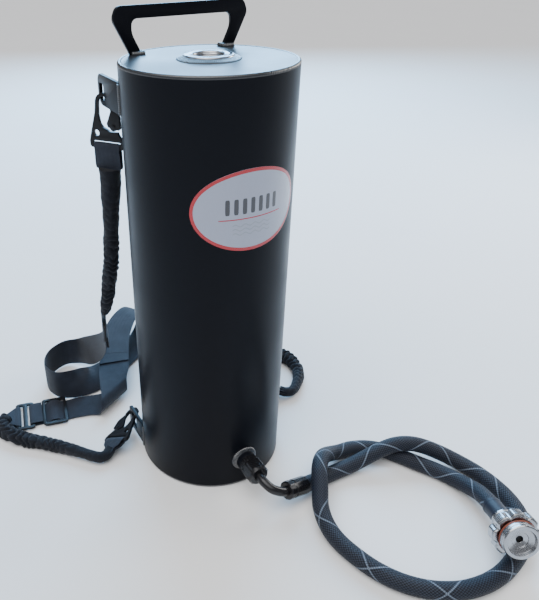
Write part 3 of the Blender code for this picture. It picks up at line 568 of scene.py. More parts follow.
def build_coupling():
    m = axis_matrix(RING_AT, RING_DIR)
    parts = [swap("hose_collar", revolve("hose_collar_moulded", [
        (0.0, -0.0620), (0.0114, -0.0620), (0.0122, -0.0610), (0.0122, -0.0560), (0.0119, -0.0555),
        (0.0119, -0.0370), (0.0122, -0.0365), (0.0122, -0.0306), (0.0116, -0.0300), (0.0, -0.0300)],
        COLLAR, m, 96, soft=0.0004))]
    parts.append(swap("coupling_body", revolve("coupling_body_turned", [
        (0.0, -0.0297), (0.0135, -0.0297), (0.0145, -0.0287), (0.0145, -0.0262), (0.0139, -0.0257),
        (0.0139, -0.0240), (0.0145, -0.0235), (0.0145, -0.0200), (0.0225, -0.0105), (0.0225, -0.0083),
        (0.0203, -0.0083), (0.0203, 0.0077), (0.0196, 0.0077), (0.0196, 0.0113), (0.0222, 0.0113),
        (0.0222, 0.0150), (0.0217, 0.0154), (0.0217, 0.0162), (0.0222, 0.0166), (0.0222, 0.0195),
        (0.0210, 0.0207), (0.0172, 0.0207), (0.0160, 0.0165), (0.0100, 0.0150), (0.0095, 0.0138),
        (0.0043, 0.0128), (0.0043, 0.0060), (0.0, 0.0060)], BARE, m, 160, soft=0.0003)))
    parts.append(swap("coupling_o_ring", revolve(
        "coupling_seal", circle(0.0213, 0.0094, 0.0014, 16), SEAL, m, 128)))
    # a near-black plug in the coupling's bore, painting the shade of the hole
    parts.append(show(revolve("coupling_bore_shade", [
        (0.0, 0.0062), (0.0041, 0.0062), (0.0041, 0.0100), (0.0, 0.0112)],
        BORE_SHADE, m, 48, soft=0.0003)))

    def lobes(a, r, z):
        if r < 0.0235:
            return r
        k = 0.5 + 0.5 * math.cos(8 * a)
        return r - 0.0034 * (1.0 - min(1.0, k * 1.7)) ** 1.5
    parts.append(swap("coupling_ring", revolve("coupling_ring_lobed", [
        (0.0206, -0.0078), (0.0262, -0.0078), (0.0280, -0.0070), (0.0288, -0.0056), (0.0288, 0.0048),
        (0.0280, 0.0062), (0.0262, 0.0070), (0.0206, 0.0070)], BARE, m, 320, lobes, 0.0004),
        "coupling_ring"))
    return parts


hose, hose_path, hose_exit, hose_length = build_hose()
ends = build_coupling()


# ---------------------------------------------------------------------- tank
def ripple(count, depth):
    """Stacked weld puddles round a circle."""
    def shape(a, r, z):
        k = (a / TAU * count) % 1.0
        return r - depth * (2 * k - 1.0) ** 2
    return shape


def build_tank():
    r, w, h = TANK_R, TANK_WALL, TANK_H
    swap("tank_shell", revolve("tank_shell_coated", [
        (r, RIM), (r, h - RIM), (r - w, h - RIM), (r - w, RIM)], COAT, seg=256))
    pr = r - RIM - 0.0002
    steps = [FILLER_NECK + GAP + (pr - FILLER_NECK - GAP) * i / 12 for i in range(13)]
    # the top plate takes the lighter coat: painted highlight
    swap("top_plate", revolve("top_plate_coated", [(s, PLATE_TOP) for s in steps]
                              + [(pr, PLATE_TOP - PLATE_T), (steps[0], PLATE_TOP - PLATE_T)],
                              LIT_TOP_COAT, seg=192))
    swap("bottom_plate", revolve("bottom_plate_coated", [
        (0.0, 0.0), (pr, 0.0), (pr, PLATE_T), (0.0, PLATE_T)], COAT, seg=128, soft=0.0006))
    a, b, top = r - RIM - 0.0004, r + 0.0001, h - RIM
    swap("top_rim_weld", revolve("top_rim_bead", [
        (a, top), (b, top), (b, h - 0.0026), (b - 0.0005, h - 0.0011), (b - 0.0016, h - 0.0002),
        (b - 0.0028, h), (a, h - 0.0006)], WELD, seg=1280, shape=ripple(256, 0.00035), crease=80.0))
    swap("bottom_rim_weld", revolve("bottom_rim_bead", [
        (a, GAP), (a, RIM), (b, RIM), (b, 0.0026), (b - 0.0007, 0.0010), (b - 0.0022, GAP)],
        WELD, seg=1280, shape=ripple(256, 0.00035), crease=80.0))
    z, rise, low = PLATE_TOP + GAP, PLATE_TOP + FILLER_RISE, PLATE_TOP - 0.018
    bore = [(FILLER_BORE, rise - 0.0015 + (low - rise + 0.0015) * i / 70) for i in range(71)]

    def threads(a, r, zz):
        if abs(r - FILLER_BORE) > 1e-6:
            return r
        k = (zz / THREAD - a / TAU) % 1.0
        fade = min(1.0, (rise - 0.0015 - zz) / 0.0012, (zz - low) / 0.0012)
        return r - 0.0008 * max(0.0, fade) * (1.0 - abs(2 * k - 1.0))
    swap("filler_bung", revolve("filler_bung_threaded", [
        (FILLER_NECK, low), (FILLER_NECK, z), (FILLER_R, z), (FILLER_R, rise - 0.0010),
        (FILLER_R - 0.0010, rise), (FILLER_BORE + 0.0015, rise)] + bore, BARE, seg=144,
        shape=threads, crease=50.0))
    ring = FILLER_R + GAP
    swap("filler_weld", revolve("filler_weld_bead", [
        (ring, z), (ring + 0.0078, z), (ring + 0.0072, z + 0.0005), (ring + 0.0055, z + 0.0012),
        (ring + 0.0030, z + 0.0022), (ring, z + 0.0034)], WELD, seg=930, shape=ripple(93, 0.0006),
        crease=80.0))


def build_handle():
    z0 = PLATE_TOP
    foot, top, h, bar = HANDLE_FOOT, HANDLE_TOP, HANDLE_H + GAP, HANDLE_BAR
    lean = (top - foot) / (h - 0.014)
    out = [(-foot, 0.0), (-foot + 0.0150, 0.0), (-foot + 0.0150 - lean * 0.024, 0.024),
           (-top + 0.0240, h - bar), (top - 0.0240, h - bar), (foot - 0.0150 + lean * 0.024, 0.024),
           (foot - 0.0150, 0.0), (foot, 0.0), (top, h - 0.014), (top - 0.006, h),
           (-top + 0.006, h), (-top, h - 0.014)]
    rad = [0.0, 0.0, 0.030, 0.007, 0.007, 0.030, 0.0, 0.0, 0.012, 0.009, 0.009, 0.012]
    m = Matrix(((1, 0, 0, 0), (0, 0, -1, HANDLE_Y + HANDLE_T / 2), (0, 1, 0, z0), (0, 0, 0, 1)))
    swap("carry_handle", plate("carry_handle_coated", rounded(out, rad, 8), [], HANDLE_T, m, COAT,
                               0.0010))
    for side, tag in ((-1, "left"), (1, "right")):
        for y, x1, where in ((HANDLE_Y - 0.0006, 0.0668, "front"),
                             (HANDLE_Y + HANDLE_T + 0.0006, 0.0622, "back")):
            swap("handle_weld_%s_%s" % (tag, where),
                 bead("handle_bead_%s_%s" % (tag, where),
                      [(side * 0.0505, y, z0 + 0.0004), (side * x1, y, z0 + 0.0004)], 0.0040))


def on_tank(x, z, lift):
    r = TANK_R + lift
    return Vector((r * math.sin(x / TANK_R), -r * math.cos(x / TANK_R), z))


def decal(name, cx, cz, a, b, power, low, high, mat, inner=0.0, n=128):
    """Thin film on the tank, with a superellipse outline (power 2: ellipse).
    inner is the width of the border it leaves, or 0 for a filled shape."""
    def edge(k, f):
        w = TAU * k / n
        c, s = math.cos(w), math.sin(w)
        q = (abs(c) ** power + abs(s) ** power) ** (-1.0 / power)
        return (cx + (a - f) * c * q, cz + (b - f) * s * q) if f >= 0 else (cx, cz)
    rows = []
    steps = 2 if inner else 14
    for lift in (high, low):
        ring = []
        for i in range(steps + 1):
            t = i / steps
            t = t if lift == high else 1.0 - t
            row = []
            for k in range(n + 1):
                if inner:
                    x, z = edge(k % n, inner * (1.0 - t))
                else:
                    ex, ez = edge(k % n, 0.0)
                    x, z = cx + (ex - cx) * t, cz + (ez - cz) * t
                row.append(on_tank(x, z, lift))
            ring.append(row)
        rows += ring
    if inner:
        rows.append(rows[0])
    uvs = [[(k / n, i * 0.01) for k in range(n + 1)] for i in range(len(rows))]
    return surface(name, rows, uvs, mat, 60.0)


def build_label():
    """Oval label with a red border and an unlettered pattern: a row of equal
    upright bars, a red rule, and three waves."""
    z = LABEL_Z
    swap("label", decal("label_film_oval", 0.0, z, LABEL_A, LABEL_B, 2.0, 0.00002, 0.00060, FILM))
    show(decal("label_border", 0.0, z, LABEL_A, LABEL_B, 2.0, PRINT_FOOT, BORDER_TOP, RED, 0.0038))
    for i in range(7):
        show(decal("label_bar_%d" % (i + 1), -0.0300 + i * 0.0100, z + 0.0060, 0.0026, 0.0090, 6.0,
                   PRINT_FOOT, PRINT_TOP, INK, n=48))
    show(decal("label_rule", 0.0, z - 0.0085, 0.0400, 0.0006, 8.0, PRINT_FOOT, PRINT_TOP, RED, n=64))
    for j in range(3):
        rows, uvs = [], []
        for dz, lift in ((-0.0006, PRINT_FOOT), (-0.0006, PRINT_TOP), (0.0006, PRINT_TOP),
                         (0.0006, PRINT_FOOT), (-0.0006, PRINT_FOOT)):
            row, uv = [], []
            for i in range(73):
                x = -0.0240 + 0.0480 * i / 72
                wave = 0.0013 * math.sin(x * TAU / 0.012)
                row.append(on_tank(x, z - 0.0160 - j * 0.0050 + wave + dz, lift))
                uv.append((x, dz))
            rows.append(row)
            uvs.append(uv)
        show(surface("label_wave_%d" % (j + 1), rows, uvs, TINT, 60.0))


def build_lugs():
    for side, tag in ((-1.0, "left"), (1.0, "right")):
        for spec, where in ((UPPER, "upper"), (LOWER, "lower")):
            tip, s0, s1, z0, z1, sz0, sz1 = spec
            upper = where == "upper"
            top = 0.0045 if upper else 0.0015
            hole = rounded([(s0, sz0), (s1, sz0), (s1, sz1), (s0, sz1)],
                           [0.0015, 0.0015, top, top], 8)
            m = Matrix(((0, 0, 1, side * LUG_X), (1, 0, 0, 0), (0, 1, 0, 0), (0, 0, 0, 1)))
            out = rounded([(0.029, z0), (tip, z0), (tip, z1), (0.029, z1)],
                          [0.0, 0.013 if upper else 0.006, 0.010 if upper else 0.006, 0.0], 10)
            name = "%s_%s_lug" % (tag, where)
            swap(name, plate(name + "_plate", out, [hole], LUG_T, m, COAT, 0.0007))
            x = LUG_X + LUG_T / 2 + 0.0004
            y = math.sqrt(TANK_R ** 2 - x * x) + 0.0006
            swap(name + "_weld", bead(name + "_bead", [
                (side * x, y, z0 + 0.001), (side * x, y, z1 - 0.001)], 0.0022))
            x = LUG_X - LUG_T / 2 - 0.0004
            y = math.sqrt(TANK_R ** 2 - x * x) + 0.0012
            show(bead(name + "_inner_bead", [
                (side * x, y, z0 + 0.001), (side * x, y, z1 - 0.001)], 0.0020))


# --------------------------------------------------------------- snap hooks
def hook_outline():
    ri, ro = HOOK_R, HOOK_R + HOOK_W
    pts = [(ri * math.cos(math.pi * k / 20), ri * math.sin(math.pi * k / 20)) for k in range(21)]
    pts += [(-0.0092, -0.0140), (-0.0075, -0.0240), (-0.0040, -0.0290), (0.0010, -0.0310),
            (0.0050, -0.0335), (0.0110, -0.0338), (0.0165, -0.0335), (0.0178, -0.0370),
            (0.0225, -0.0430), (0.0245, -0.0475), (0.0240, -0.0530), (0.0220, HOOK_END),
            (-0.0220, HOOK_END), (-0.0240, -0.0530), (-0.0245, -0.0475), (-0.0225, -0.0400),
            (-0.0140, -0.0120)]
    pts += [(ro * math.cos(math.pi * (20 - k) / 20), ro * math.sin(math.pi * (20 - k) / 20))
            for k in range(21)]
    pts += [(0.0122, -0.0022), (0.0082, -0.0022)]
    body = [0.004, 0.004, 0.003, 0.003, 0.002, 0.001, 0.001, 0.004, 0.004, 0.003, 0.002,
            0.0015, 0.0015, 0.002, 0.003, 0.004, 0.004]
    return rounded(pts, [0.0] * 21 + body + [0.0] * 21 + [0.0006, 0.0006], 3)


def gate_outline():
    px, py = PIVOT
    arc = [math.pi * (1.12 + 0.66 * k / 16) for k in range(17)]
    pts = [(px + 0.0056 * math.cos(a), py + 0.0056 * math.sin(a)) for a in arc]
    pts += [(0.0185, -0.0310), (0.0205, -0.0290), (0.0203, -0.0150), (0.0185, -0.0110),
            (0.0140, -0.0058), (0.0124, -0.0027), (0.0083, -0.0027), (0.0083, -0.0095),
            (0.0020, -0.0240), (0.0032, -0.0280)]
    corners = [0.0, 0.001, 0.003, 0.003, 0.003, 0.0005, 0.0005, 0.003, 0.001, 0.0]
    return rounded(pts, [0.0] * 17 + corners, 3)


def hook_matrix(origin, down, outer):
    d = Vector(down).normalized()
    o = Vector(outer)
    o = (o - d * o.dot(d)).normalized()
    x, y = -o, -d
    m = Matrix((x, y, x.cross(y))).transposed().to_4x4()
    m.translation = Vector(origin)
    return m


def upper_hook(side):
    c, s = math.cos(math.radians(38)), math.sin(math.radians(38))
    return hook_matrix((side * LUG_X, 0.0865, UPPER[5] - 0.0040), (0, 0, -1), (side * s, c, 0))


def lower_hook(side):
    return hook_matrix((side * 0.0965, 0.0776, 0.0275), (side * 0.757, -0.620, -0.205),
                       (-side * 0.485, -0.744, 0.460))


def bend(ob, node):
    """Hides the CAD node and bakes ob's placement into its mesh; ob rides no body."""
    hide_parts(node)
    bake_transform(ob)


def build_hook(tag, m, mouth):
    """Frame, gate and pin, and the webbing that folds through the slot and
    narrows into the sleeve, whose mouth is at the given distance.  As in the
    CAD, the frame has no cheeks and doesn't reach the gate's pin."""
    body, gate = tag + "_hook", tag + "_gate"
    slot = rounded([(-0.0198, SLOT_V[0]), (0.0198, SLOT_V[0]), (0.0198, SLOT_V[1]),
                    (-0.0198, SLOT_V[1])], 0.0012, 4)
    eye = circle(-0.0135, -0.0365, 0.0040)
    swap(tag + "_hook_frame", plate(
        tag + "_hook_plate", hook_outline(), [slot, eye], HOOK_W, m, STEEL, 0.0006), body)
    swap(tag + "_hook_gate", plate(
        tag + "_gate_plate", gate_outline(), [circle(*PIVOT, 0.0018, 16)], HOOK_W - 0.0006, m,
        STEEL, 0.0005), gate)
    h = HOOK_W / 2 + 0.0009
    swap(tag + "_gate_pin", revolve(tag + "_gate_rivet", [
        (0.0, -h), (0.0020, -h), (0.0027, -h + 0.0004), (0.0027, -h + 0.0007), (0.0015, -h + 0.0007),
        (0.0015, h - 0.0007), (0.0027, h - 0.0007), (0.0027, h - 0.0004), (0.0020, h), (0.0, h)],
        STEEL, m @ Matrix.Translation((*PIVOT, 0.0)), 32), body)
    end = mouth - 0.010
    fold = [(end, 0.0016, 0.0085), (mouth, 0.0022, 0.0100), (-0.0640, 0.0030, 0.0160),
            (-0.0585, 0.0035, 0.0178), (-0.0540, 0.0033, 0.0182), (-0.0505, 0.0022, 0.0182),
            (-0.0482, 0.0, 0.0182), (-0.0505, -0.0022, 0.0182), (-0.0540, -0.0033, 0.0182),
            (-0.0585, -0.0035, 0.0178), (-0.0640, -0.0030, 0.0160), (mouth, -0.0022, 0.0100),
            (end, -0.0016, 0.0085)]
    if mouth < LOOSE_TAB:
        side = [(-0.0640, 0.0030, 0.0182), (-0.0790, 0.0030, 0.0178), (-0.0810, 0.0040, 0.0130)]
        fold[:3] = [(v, n, half) for v, n, half in reversed(side)]
        fold[-3:] = [(v, -n, half) for v, n, half in side]
    rows = [(m @ Vector((0.0, v, n)), m.to_3x3() @ Vector((2.0 * half, 0.0, 0.0)))
            for v, n, half in fold]
    web = ribbon(tag + "_web_fold", rows, 0.0013, WEB, 10)
    if mouth < LOOSE_TAB:
        swap(tag + "_webbing", web, body)
        hems, n0 = (-0.0590, -0.0765), 0.0038
    else:
        bend(web, tag + "_webbing")
        hems, n0 = (-0.0572,), 0.0042
    lines = [(m @ Vector((-0.0155, v, n)), m @ Vector((0.0155, v, n)))
             for n in (n0, -n0) for v in hems]
    show(stitches(tag + "_web_stitching", lines), None, body)


# ------------------------------------------------------------------- slings
def sleeve(name, points, seed, shape, head=None):
    """Elastic cover.  shape is (share of the length, width factor, depth of the
    gathers): smooth where it is stretched, in uneven folds where it is slack.
    It lies flat where it meets the ground."""
    path = smooth_path(([head] if head else []) + points, 0.0010)
    total = sum((b - a).length for a, b in zip(path, path[1:]))
    at, wide, deep = zip(*shape)

    def relief(s, a):
        f = s / total
        wander = noise.noise((s * 30.0, math.cos(a) * 0.9 + seed, math.sin(a) * 0.9))
        fold = abs(math.sin(math.pi * (s / 0.0105 + 1.1 * wander))) ** 0.75
        lump = noise.noise((s * 60.0, math.cos(a) * 1.4, math.sin(a) * 1.4 + seed * 3.0))
        d = float(np.interp(f, at, deep))
        return float(np.interp(f, at, wide)) * (1.0 - d * (1.0 - fold) + (0.06 + 0.3 * d) * lump)
    ob = tube(name, path, SLEEVE_R, SLEEVE, 48, relief, 80.0)
    for v in ob.data.vertices:
        v.co.z = max(v.co.z, 0.0004)
    return ob


HANGING = [(0.0, 1.45, 0.03), (0.12, 1.30, 0.04), (0.35, 1.05, 0.10), (0.50, 1.12, 0.26),
           (0.80, 1.08, 0.32), (0.93, 0.95, 0.16), (1.0, 0.62, 0.06)]
LYING = [(0.0, 0.80, 0.05), (0.25, 0.84, 0.07), (0.42, 1.00, 0.20), (0.62, 1.12, 0.36),
         (0.85, 1.25, 0.34), (1.0, 1.05, 0.12)]


def loop_matrix(centre, along, across):
    x, y = Vector(across).normalized(), Vector(along)
    y = (y - x * x.dot(y)).normalized()
    m = Matrix((x, y, x.cross(y))).transposed().to_4x4()
    m.translation = Vector(centre)
    return m


def loop_plate(node, m, bars):
    half = STRAP_W / 2 + 0.0070
    lo, hi = bars[0][0] - 0.0045, bars[-1][1] + 0.0045
    s = STRAP_W / 2 + 0.0015
    out = rounded([(-half, lo), (half, lo), (half, hi), (-half, hi)], 0.0060, 8)
    holes = [rounded([(-s, a), (s, a), (s, b), (-s, b)], 0.0015, 5) for a, b in bars]
    swap(node, plate(node + "_ring", out, holes, PLATE_THICK, m, STEEL, 0.0010))


def end_fold(name, m, sign, mouth, direction):
    """Webbing out of a sleeve, over the far bar of a loop and back into it."""
    near, rows = m.inverted() @ Vector(mouth), []
    inside = m.inverted() @ (Vector(mouth) + Vector(direction) * 0.008)
    t = 0.0026
    for p, n, half in ((inside, 0.0009, 0.0075), (near, 0.0011, 0.0095)):
        rows.append((p.x, p.y, p.z + n, half))
    rows += [(0.0, sign * 0.0175, t, 0.0200), (0.0, sign * 0.0120, t, 0.0235),
             (0.0, sign * 0.0085, t * 0.7, 0.0240), (0.0, sign * 0.0072, 0.0, 0.0240),
             (0.0, sign * 0.0085, -t * 0.7, 0.0240), (0.0, sign * 0.0120, -t, 0.0235),
             (0.0, sign * 0.0175, -t, 0.0200)]
    for p, n, half in ((near, -0.0011, 0.0095), (inside, -0.0009, 0.0075)):
        rows.append((p.x, p.y, p.z + n, half))
    r3 = m.to_3x3()
    show(ribbon(name, [(m @ Vector(r[:3]), r3 @ Vector((2 * r[3], 0.0, 0.0))) for r in rows], 0.0013,
                WEB, 8))


def through_bars(m, away):
    """Rows of a strap that comes up from behind its end bar, goes through the
    first slot of a double-slot loop and lies back on itself."""
    r3 = m.to_3x3() @ Vector((STRAP_W * 0.97, 0.0, 0.0))
    return [(m @ Vector((0.0, y * away, z)), r3) for y, z in
            ((0.0270, 0.0034), (0.0170, 0.0034), (0.0105, 0.0028), (0.0072, 0.0), (0.0105, -0.0028),
             (0.0170, -0.0030))]


def tri_glide(m, fall):
    """Rows of a strap under the near edge, over the middle bar, under the far edge."""
    r3 = m.to_3x3() @ Vector((STRAP_W * 0.98, 0.0, 0.0))
    out = []
    for y, z in ((-0.0205, -0.0028), (-0.0145, -0.0026), (-0.0085, 0.0005), (-0.0040, 0.0026),
                 (0.0, 0.0030), (0.0040, 0.0026), (0.0085, 0.0005), (0.0145, -0.0026),
                 (0.0205, -0.0028)):
        out.append((m @ Vector((0.0, y, z)), r3 * fall))
    return out


LEFT_GLIDE, LEFT_LOW = (-0.1960, 0.1700, 0.0042), (-0.2420, 0.1790, 0.0042)
RIGHT_GLIDE, RIGHT_LOW = (0.1960, 0.2120, 0.0042), (0.1960, 0.1660, 0.0042)
NARROW = [(-0.0100, -0.0035), (0.0035, 0.0100)]
WIDE = [(-0.0150, -0.0035), (0.0035, 0.0150)]


def scaled(rows):
    return [(Vector(c), Vector(w) * STRAP_W) for c, w in rows]


def upper_sleeve_points(side):
    return [(side * 0.0962, 0.0868, 0.4030), (side * 0.0975, 0.0895, 0.3700),
            (side * 0.0985, 0.0960, 0.3250), (side * 0.0990, 0.1060, 0.2800),
            (side * 0.1005, 0.1210, 0.2350), (side * 0.1030, 0.1350, 0.1950),
            (side * 0.1050, 0.1400, 0.1820)]


def build_ends(tag, side, seed, glide_at, foot_at, along, across, mouth, direction):
    """Hooks, upper cover, loops and end folds of one sling.  The last four
    place its lower loops and the lower sleeve's mouth."""
    up, low = upper_hook(side), lower_hook(side)
    build_hook(tag + "_upper", up, UPPER_MOUTH)
    build_hook(tag + "_lower", low, LOWER_MOUTH)
    cover = sleeve(tag + "_upper_cover", upper_sleeve_points(side), seed, HANGING,
                   tuple(up @ Vector((0.0, COVER_HEAD, 0.0))))
    bend(cover, tag + "_upper_sleeve")
    top = loop_matrix((side * 0.1060, 0.1440, 0.1590), (0.0, 0.0, 1.0), (-side * 0.29, 0.957, 0.0))
    glide, foot = loop_matrix(glide_at, along, across), loop_matrix(foot_at, along, across)
    loop_plate(tag + "_upper_loop", top, NARROW)
    loop_plate(tag + "_adjuster", glide, WIDE)
    loop_plate(tag + "_lower_loop", foot, NARROW)
    end_fold(tag + "_upper_end", top, 1.0, (side * 0.1050, 0.1400, 0.1830), (0.0, 0.0, 1.0))
    end_fold(tag + "_lower_end", foot, 1.0, mouth, direction)
    return top, glide, foot, low


def build_lower_cover(tag, low, points, seed):
    start, head = (tuple(low @ Vector((0.0, v, 0.0))) for v in (LOWER_COVER, LOWER_MOUTH))
    swap(tag + "_lower_sleeve", sleeve(tag + "_lower_cover", [start] + points, seed, LYING, head))


def build_left_sling():
    top, glide, foot, low = build_ends(
        "left", -1.0, 1.7, LEFT_GLIDE, LEFT_LOW, (-1.0, 0.20, 0.0), (0.20, 0.98, 0.0),
        (-0.2722, 0.1790, 0.0095), (-0.6, -0.8, 0.0))
    rows = through_bars(top, -1.0)[::-1]
    rows += scaled([
        ((-0.1060, 0.1455, 0.1320), (0.29, 0.957, 0.02)), ((-0.1070, 0.1600, 0.1150), (0.20, 0.97, 0.15)),
        ((-0.1085, 0.1950, 0.0850), (0.08, 0.87, 0.48)), ((-0.1115, 0.2350, 0.0560), (0.0, 0.55, 0.83)),
        ((-0.1190, 0.2750, 0.0330), (0.0, 0.10, 0.99)), ((-0.1420, 0.2890, 0.0268), (0.0, 0.0, 1.0)),
        ((-0.1720, 0.2720, 0.0265), (0.0, 0.0, 1.0)), ((-0.1880, 0.2380, 0.0265), (0.0, 0.0, 1.0)),
        ((-0.1780, 0.2060, 0.0265), (0.0, 0.05, 1.0)), ((-0.1510, 0.1960, 0.0255), (-0.12, 0.30, 0.94)),
        ((-0.1240, 0.2050, 0.0190), (-0.36, 0.66, 0.65)), ((-0.0930, 0.2250, 0.0090), (-0.50, 0.84, 0.22)),
        ((-0.0550, 0.2500, 0.0045), (-0.53, 0.85, 0.0)), ((-0.0150, 0.2780, 0.0045), (-0.57, 0.82, 0.0)),
        ((0.0180, 0.3050, 0.0080), (-0.60, 0.80, 0.0)), ((0.0350, 0.3230, 0.0240), (-0.62, 0.78, 0.0)),
        ((0.0260, 0.3330, 0.0430), (-0.55, 0.83, 0.0)), ((0.0000, 0.3250, 0.0520), (-0.30, 0.95, 0.0)),
        ((-0.0260, 0.3020, 0.0500), (-0.62, 0.78, 0.0)), ((-0.0500, 0.2680, 0.0440), (-0.88, 0.47, 0.0)),
        ((-0.0680, 0.2280, 0.0385), (-0.93, 0.36, 0.0)), ((-0.0840, 0.1880, 0.0350), (-1.03, 0.10, 0.0)),
        ((-0.0960, 0.1550, 0.0330), (-1.12, -0.55, 0.0)), ((-0.1010, 0.1430, 0.0300), (-1.15, -0.71, 0.0)),
        ((-0.1035, 0.1365, 0.0195), (-1.15, -0.71, 0.0)), ((-0.1050, 0.1420, 0.0085), (-1.15, -0.71, 0.0)),
        ((-0.1170, 0.1490, 0.0050), (-0.76, -0.92, 0.0)), ((-0.1380, 0.1570, 0.0035), (-0.32, -0.95, 0.0)),
        ((-0.1600, 0.1630, 0.0028), (-0.24, -0.97, 0.0))])
    rows += tri_glide(glide, -1.0)
    rows += [(c, w * -1.0) for c, w in through_bars(foot, -1.0)[::-1][1:]]
    swap("left_strap", ribbon("left_strap_web", rows, WEB_T, WEB, 8))
    hem = scaled([((-0.0560, 0.2560, 0.0449), (-0.90, 0.44, 0.0)),
                  ((-0.0680, 0.2280, 0.0405), (-0.93, 0.36, 0.0)),
                  ((-0.0765, 0.2060, 0.0385), (-0.98, 0.22, 0.0))])
    show(ribbon("left_strap_hem", hem, WEB_T, WEB, 8))
    c, w = hem[1]
    face = Vector((0.0, 0.0, 0.0011))
    show(stitches("left_strap_stitching", [(c - w * 0.46 + face, c + w * 0.46 + face)]))
    build_lower_cover("left", low, [
        (-0.1590, 0.0275, 0.0112), (-0.1690, 0.0290, 0.0105), (-0.1820, 0.0420, 0.0105),
        (-0.2050, 0.0690, 0.0105), (-0.2310, 0.0950, 0.0105), (-0.2570, 0.1190, 0.0105),
        (-0.2760, 0.1450, 0.0105), (-0.2800, 0.1690, 0.0105), (-0.2715, 0.1800, 0.0105)], 4.1)


def build_right_sling():
    top, glide, foot, low = build_ends(
        "right", 1.0, 7.3, RIGHT_GLIDE, RIGHT_LOW, (0.0, -1.0, 0.0), (1.0, 0.0, 0.0),
        (0.1990, 0.1385, 0.0095), (0.5, -0.86, 0.0))
    rows = through_bars(top, -1.0)[::-1]
    rows += scaled([
        ((0.1060, 0.1455, 0.1320), (-0.29, 0.957, 0.02)), ((0.1050, 0.1600, 0.1150), (-0.20, 0.97, 0.15)),
        ((0.1020, 0.1950, 0.0850), (-0.08, 0.87, 0.48)), ((0.0960, 0.2350, 0.0560), (0.0, 0.55, 0.83)),
        ((0.0920, 0.2750, 0.0330), (0.0, 0.10, 0.99)), ((0.1000, 0.3080, 0.0268), (0.0, 0.0, 1.0)),
        ((0.1260, 0.3300, 0.0265), (0.0, 0.0, 1.0)), ((0.1600, 0.3290, 0.0265), (0.0, 0.0, 1.0)),
        ((0.1860, 0.3080, 0.0255), (0.28, 0.10, 0.94)), ((0.1960, 0.2790, 0.0180), (0.72, 0.12, 0.62)),
        ((0.1975, 0.2520, 0.0075), (0.97, 0.0, 0.22))])
    rows += tri_glide(glide, 1.0)
    rows += through_bars(foot, -1.0)[::-1][1:]
    swap("right_strap", ribbon("right_strap_web", rows, WEB_T, WEB, 8))
    build_lower_cover("right", low, [
        (0.1590, 0.0270, 0.0112), (0.1700, 0.0265, 0.0105), (0.1860, 0.0370, 0.0105),
        (0.2040, 0.0570, 0.0105), (0.2150, 0.0800, 0.0105), (0.2170, 0.1050, 0.0105),
        (0.2080, 0.1280, 0.0105), (0.1985, 0.1390, 0.0105)], 9.2)


# ------------------------------------------------------------------- outlet
def hexagon(flat, sides=6):
    step = TAU / sides

    def shape(a, r, z):
        k = (a + step / 2) % step - step / 2
        return min(r, flat / 2 / math.cos(k))
    return shape


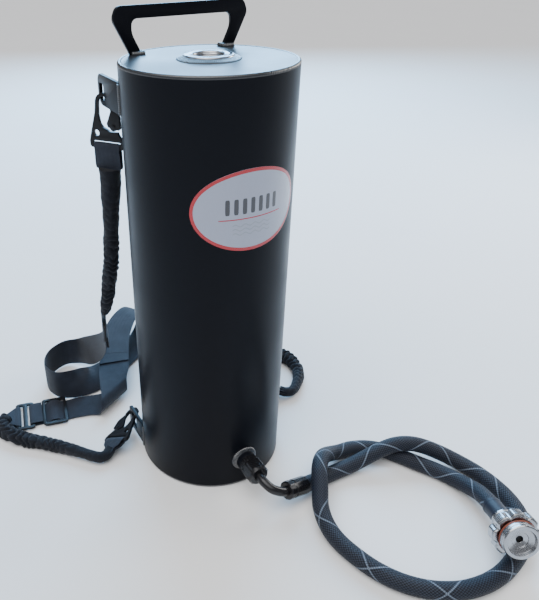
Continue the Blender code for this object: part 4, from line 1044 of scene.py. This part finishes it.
def build_outlet():
    out = axis_matrix((0, 0, OUTLET_Z), (0, -1, 0))
    y = TANK_R
    swap("outlet_bung", revolve("outlet_bung_coated", [
        (0.0, y - 0.003), (0.0140, y - 0.003), (0.0140, y + 0.0095), (0.0130, y + 0.0105),
        (0.0, y + 0.0105)], COAT, out, 96, soft=0.0004))
    r = 0.0140
    swap("outlet_weld", revolve("outlet_weld_bead", [
        (r, y - 0.003), (r + 0.0050, y - 0.003), (r + 0.0042, y + 0.0006), (r + 0.0026, y + 0.0022),
        (r, y + 0.0034)], WELD, out, 420, ripple(42, 0.0006), crease=80.0))
    b = y + 0.0105 + GAP
    swap("outlet_adapter", revolve("outlet_adapter_hex", [
        (0.0, b), (0.0140, b), (0.0155, b + 0.0010), (0.0155, b + 0.0062), (0.0142, b + 0.0070),
        (0.0105, b + 0.0078), (0.0105, b + 0.0160), (0.0, b + 0.0160)], ANODISED, out, 144,
        hexagon(0.0270), crease=25.0))
    n = b + 0.0085
    swap("swivel_nut", revolve("swivel_nut_hex", [
        (0.0110, n), (0.0150, n), (0.0166, n + 0.0012), (0.0166, n + 0.0158), (0.0150, n + 0.0170),
        (0.0128, n + 0.0200), (0.0071, n + 0.0200), (0.0071, n + 0.0100), (0.0110, n + 0.0085)],
        ANODISED, out, 144, hexagon(0.0295), crease=25.0), "swivel_nut")
    start, s = -(b + 0.0166), SOCKET_AT
    path = smooth_path([(0, start, OUTLET_Z), (0, start - 0.0050, OUTLET_Z), (0, start - 0.0130, OUTLET_Z),
                        (0.0010, -0.1520, OUTLET_Z - 0.0015), (0.0065, -0.1620, 0.0385),
                        (0.0155, -0.1667, 0.0338), tuple(s - SOCKET_DIR * 0.0040), tuple(s)], 0.0010)
    swap("elbow_tube", tube("elbow_bend", path, 0.0064, ANODISED, 48))
    m = axis_matrix(s + SOCKET_DIR * GAP, SOCKET_DIR)
    swap("hose_socket", revolve("hose_socket_turned", [
        (0.0, 0.0), (0.0105, 0.0), (0.0128, 0.0012), (0.0128, 0.0085), (0.0112, 0.0095),
        (0.0112, 0.0115), (0.0125, 0.0125), (0.0125, SOCKET_L - 0.0010), (0.0115, SOCKET_L),
        (0.0, SOCKET_L)], ANODISED, m, 128, hexagon(0.0242, 12), crease=12.0))


# -------------------------------------------------------------------- studio
def build_studio():
    k = Look("pale_floor", (0.82, 0.82, 0.82), 0.9)
    k.color(k.mix(k.noise(3.0, 2.0), (0.83, 0.83, 0.83), (0.80, 0.80, 0.81)))
    bpy.ops.mesh.primitive_plane_add(size=90.0, location=(0.0, 0.0, -0.0002))
    floor = bpy.context.object
    floor.name = "studio_floor"
    floor.data.materials.append(k.mat)
    for name, at, size, power in (("key", (-0.9, -0.5, 2.5), 1.4, 16.0),
                                  ("side", (1.9, 0.1, 1.0), 0.8, 18.0),
                                  ("back", (1.2, 2.3, 1.9), 2.2, 200.0)):
        data = bpy.data.lights.new(name, "AREA")
        data.shape, data.size, data.energy = "SQUARE", size, power
        data.color = (0.33, 0.64, 1.0) if name == "back" else (1.0, 0.99, 0.97)
        lamp = bpy.data.objects.new("light_" + name, data)
        lamp.location = at
        lamp.rotation_euler = (Vector((0.0, 0.0, 0.28)) - Vector(at)).to_track_quat("-Z", "Y").to_euler()
        bpy.context.collection.objects.link(lamp)
    data = bpy.data.lights.new("sky", "SUN")
    data.energy, data.angle = 2.7, math.radians(70.0)
    sky = bpy.data.objects.new("light_sky", data)
    sky.rotation_euler = (math.radians(14.0), math.radians(-16.0), 0.0)
    bpy.context.collection.objects.link(sky)
    world = bpy.data.worlds.new("studio")
    world.use_nodes = True
    world.node_tree.nodes["Background"].inputs[0].default_value = (0.93, 0.95, 1.0, 1.0)
    world.node_tree.nodes["Background"].inputs[1].default_value = 0.35
    bpy.context.scene.world = world


build_tank()
build_handle()
build_label()
build_lugs()
build_left_sling()
build_right_sling()
build_outlet()
build_studio()
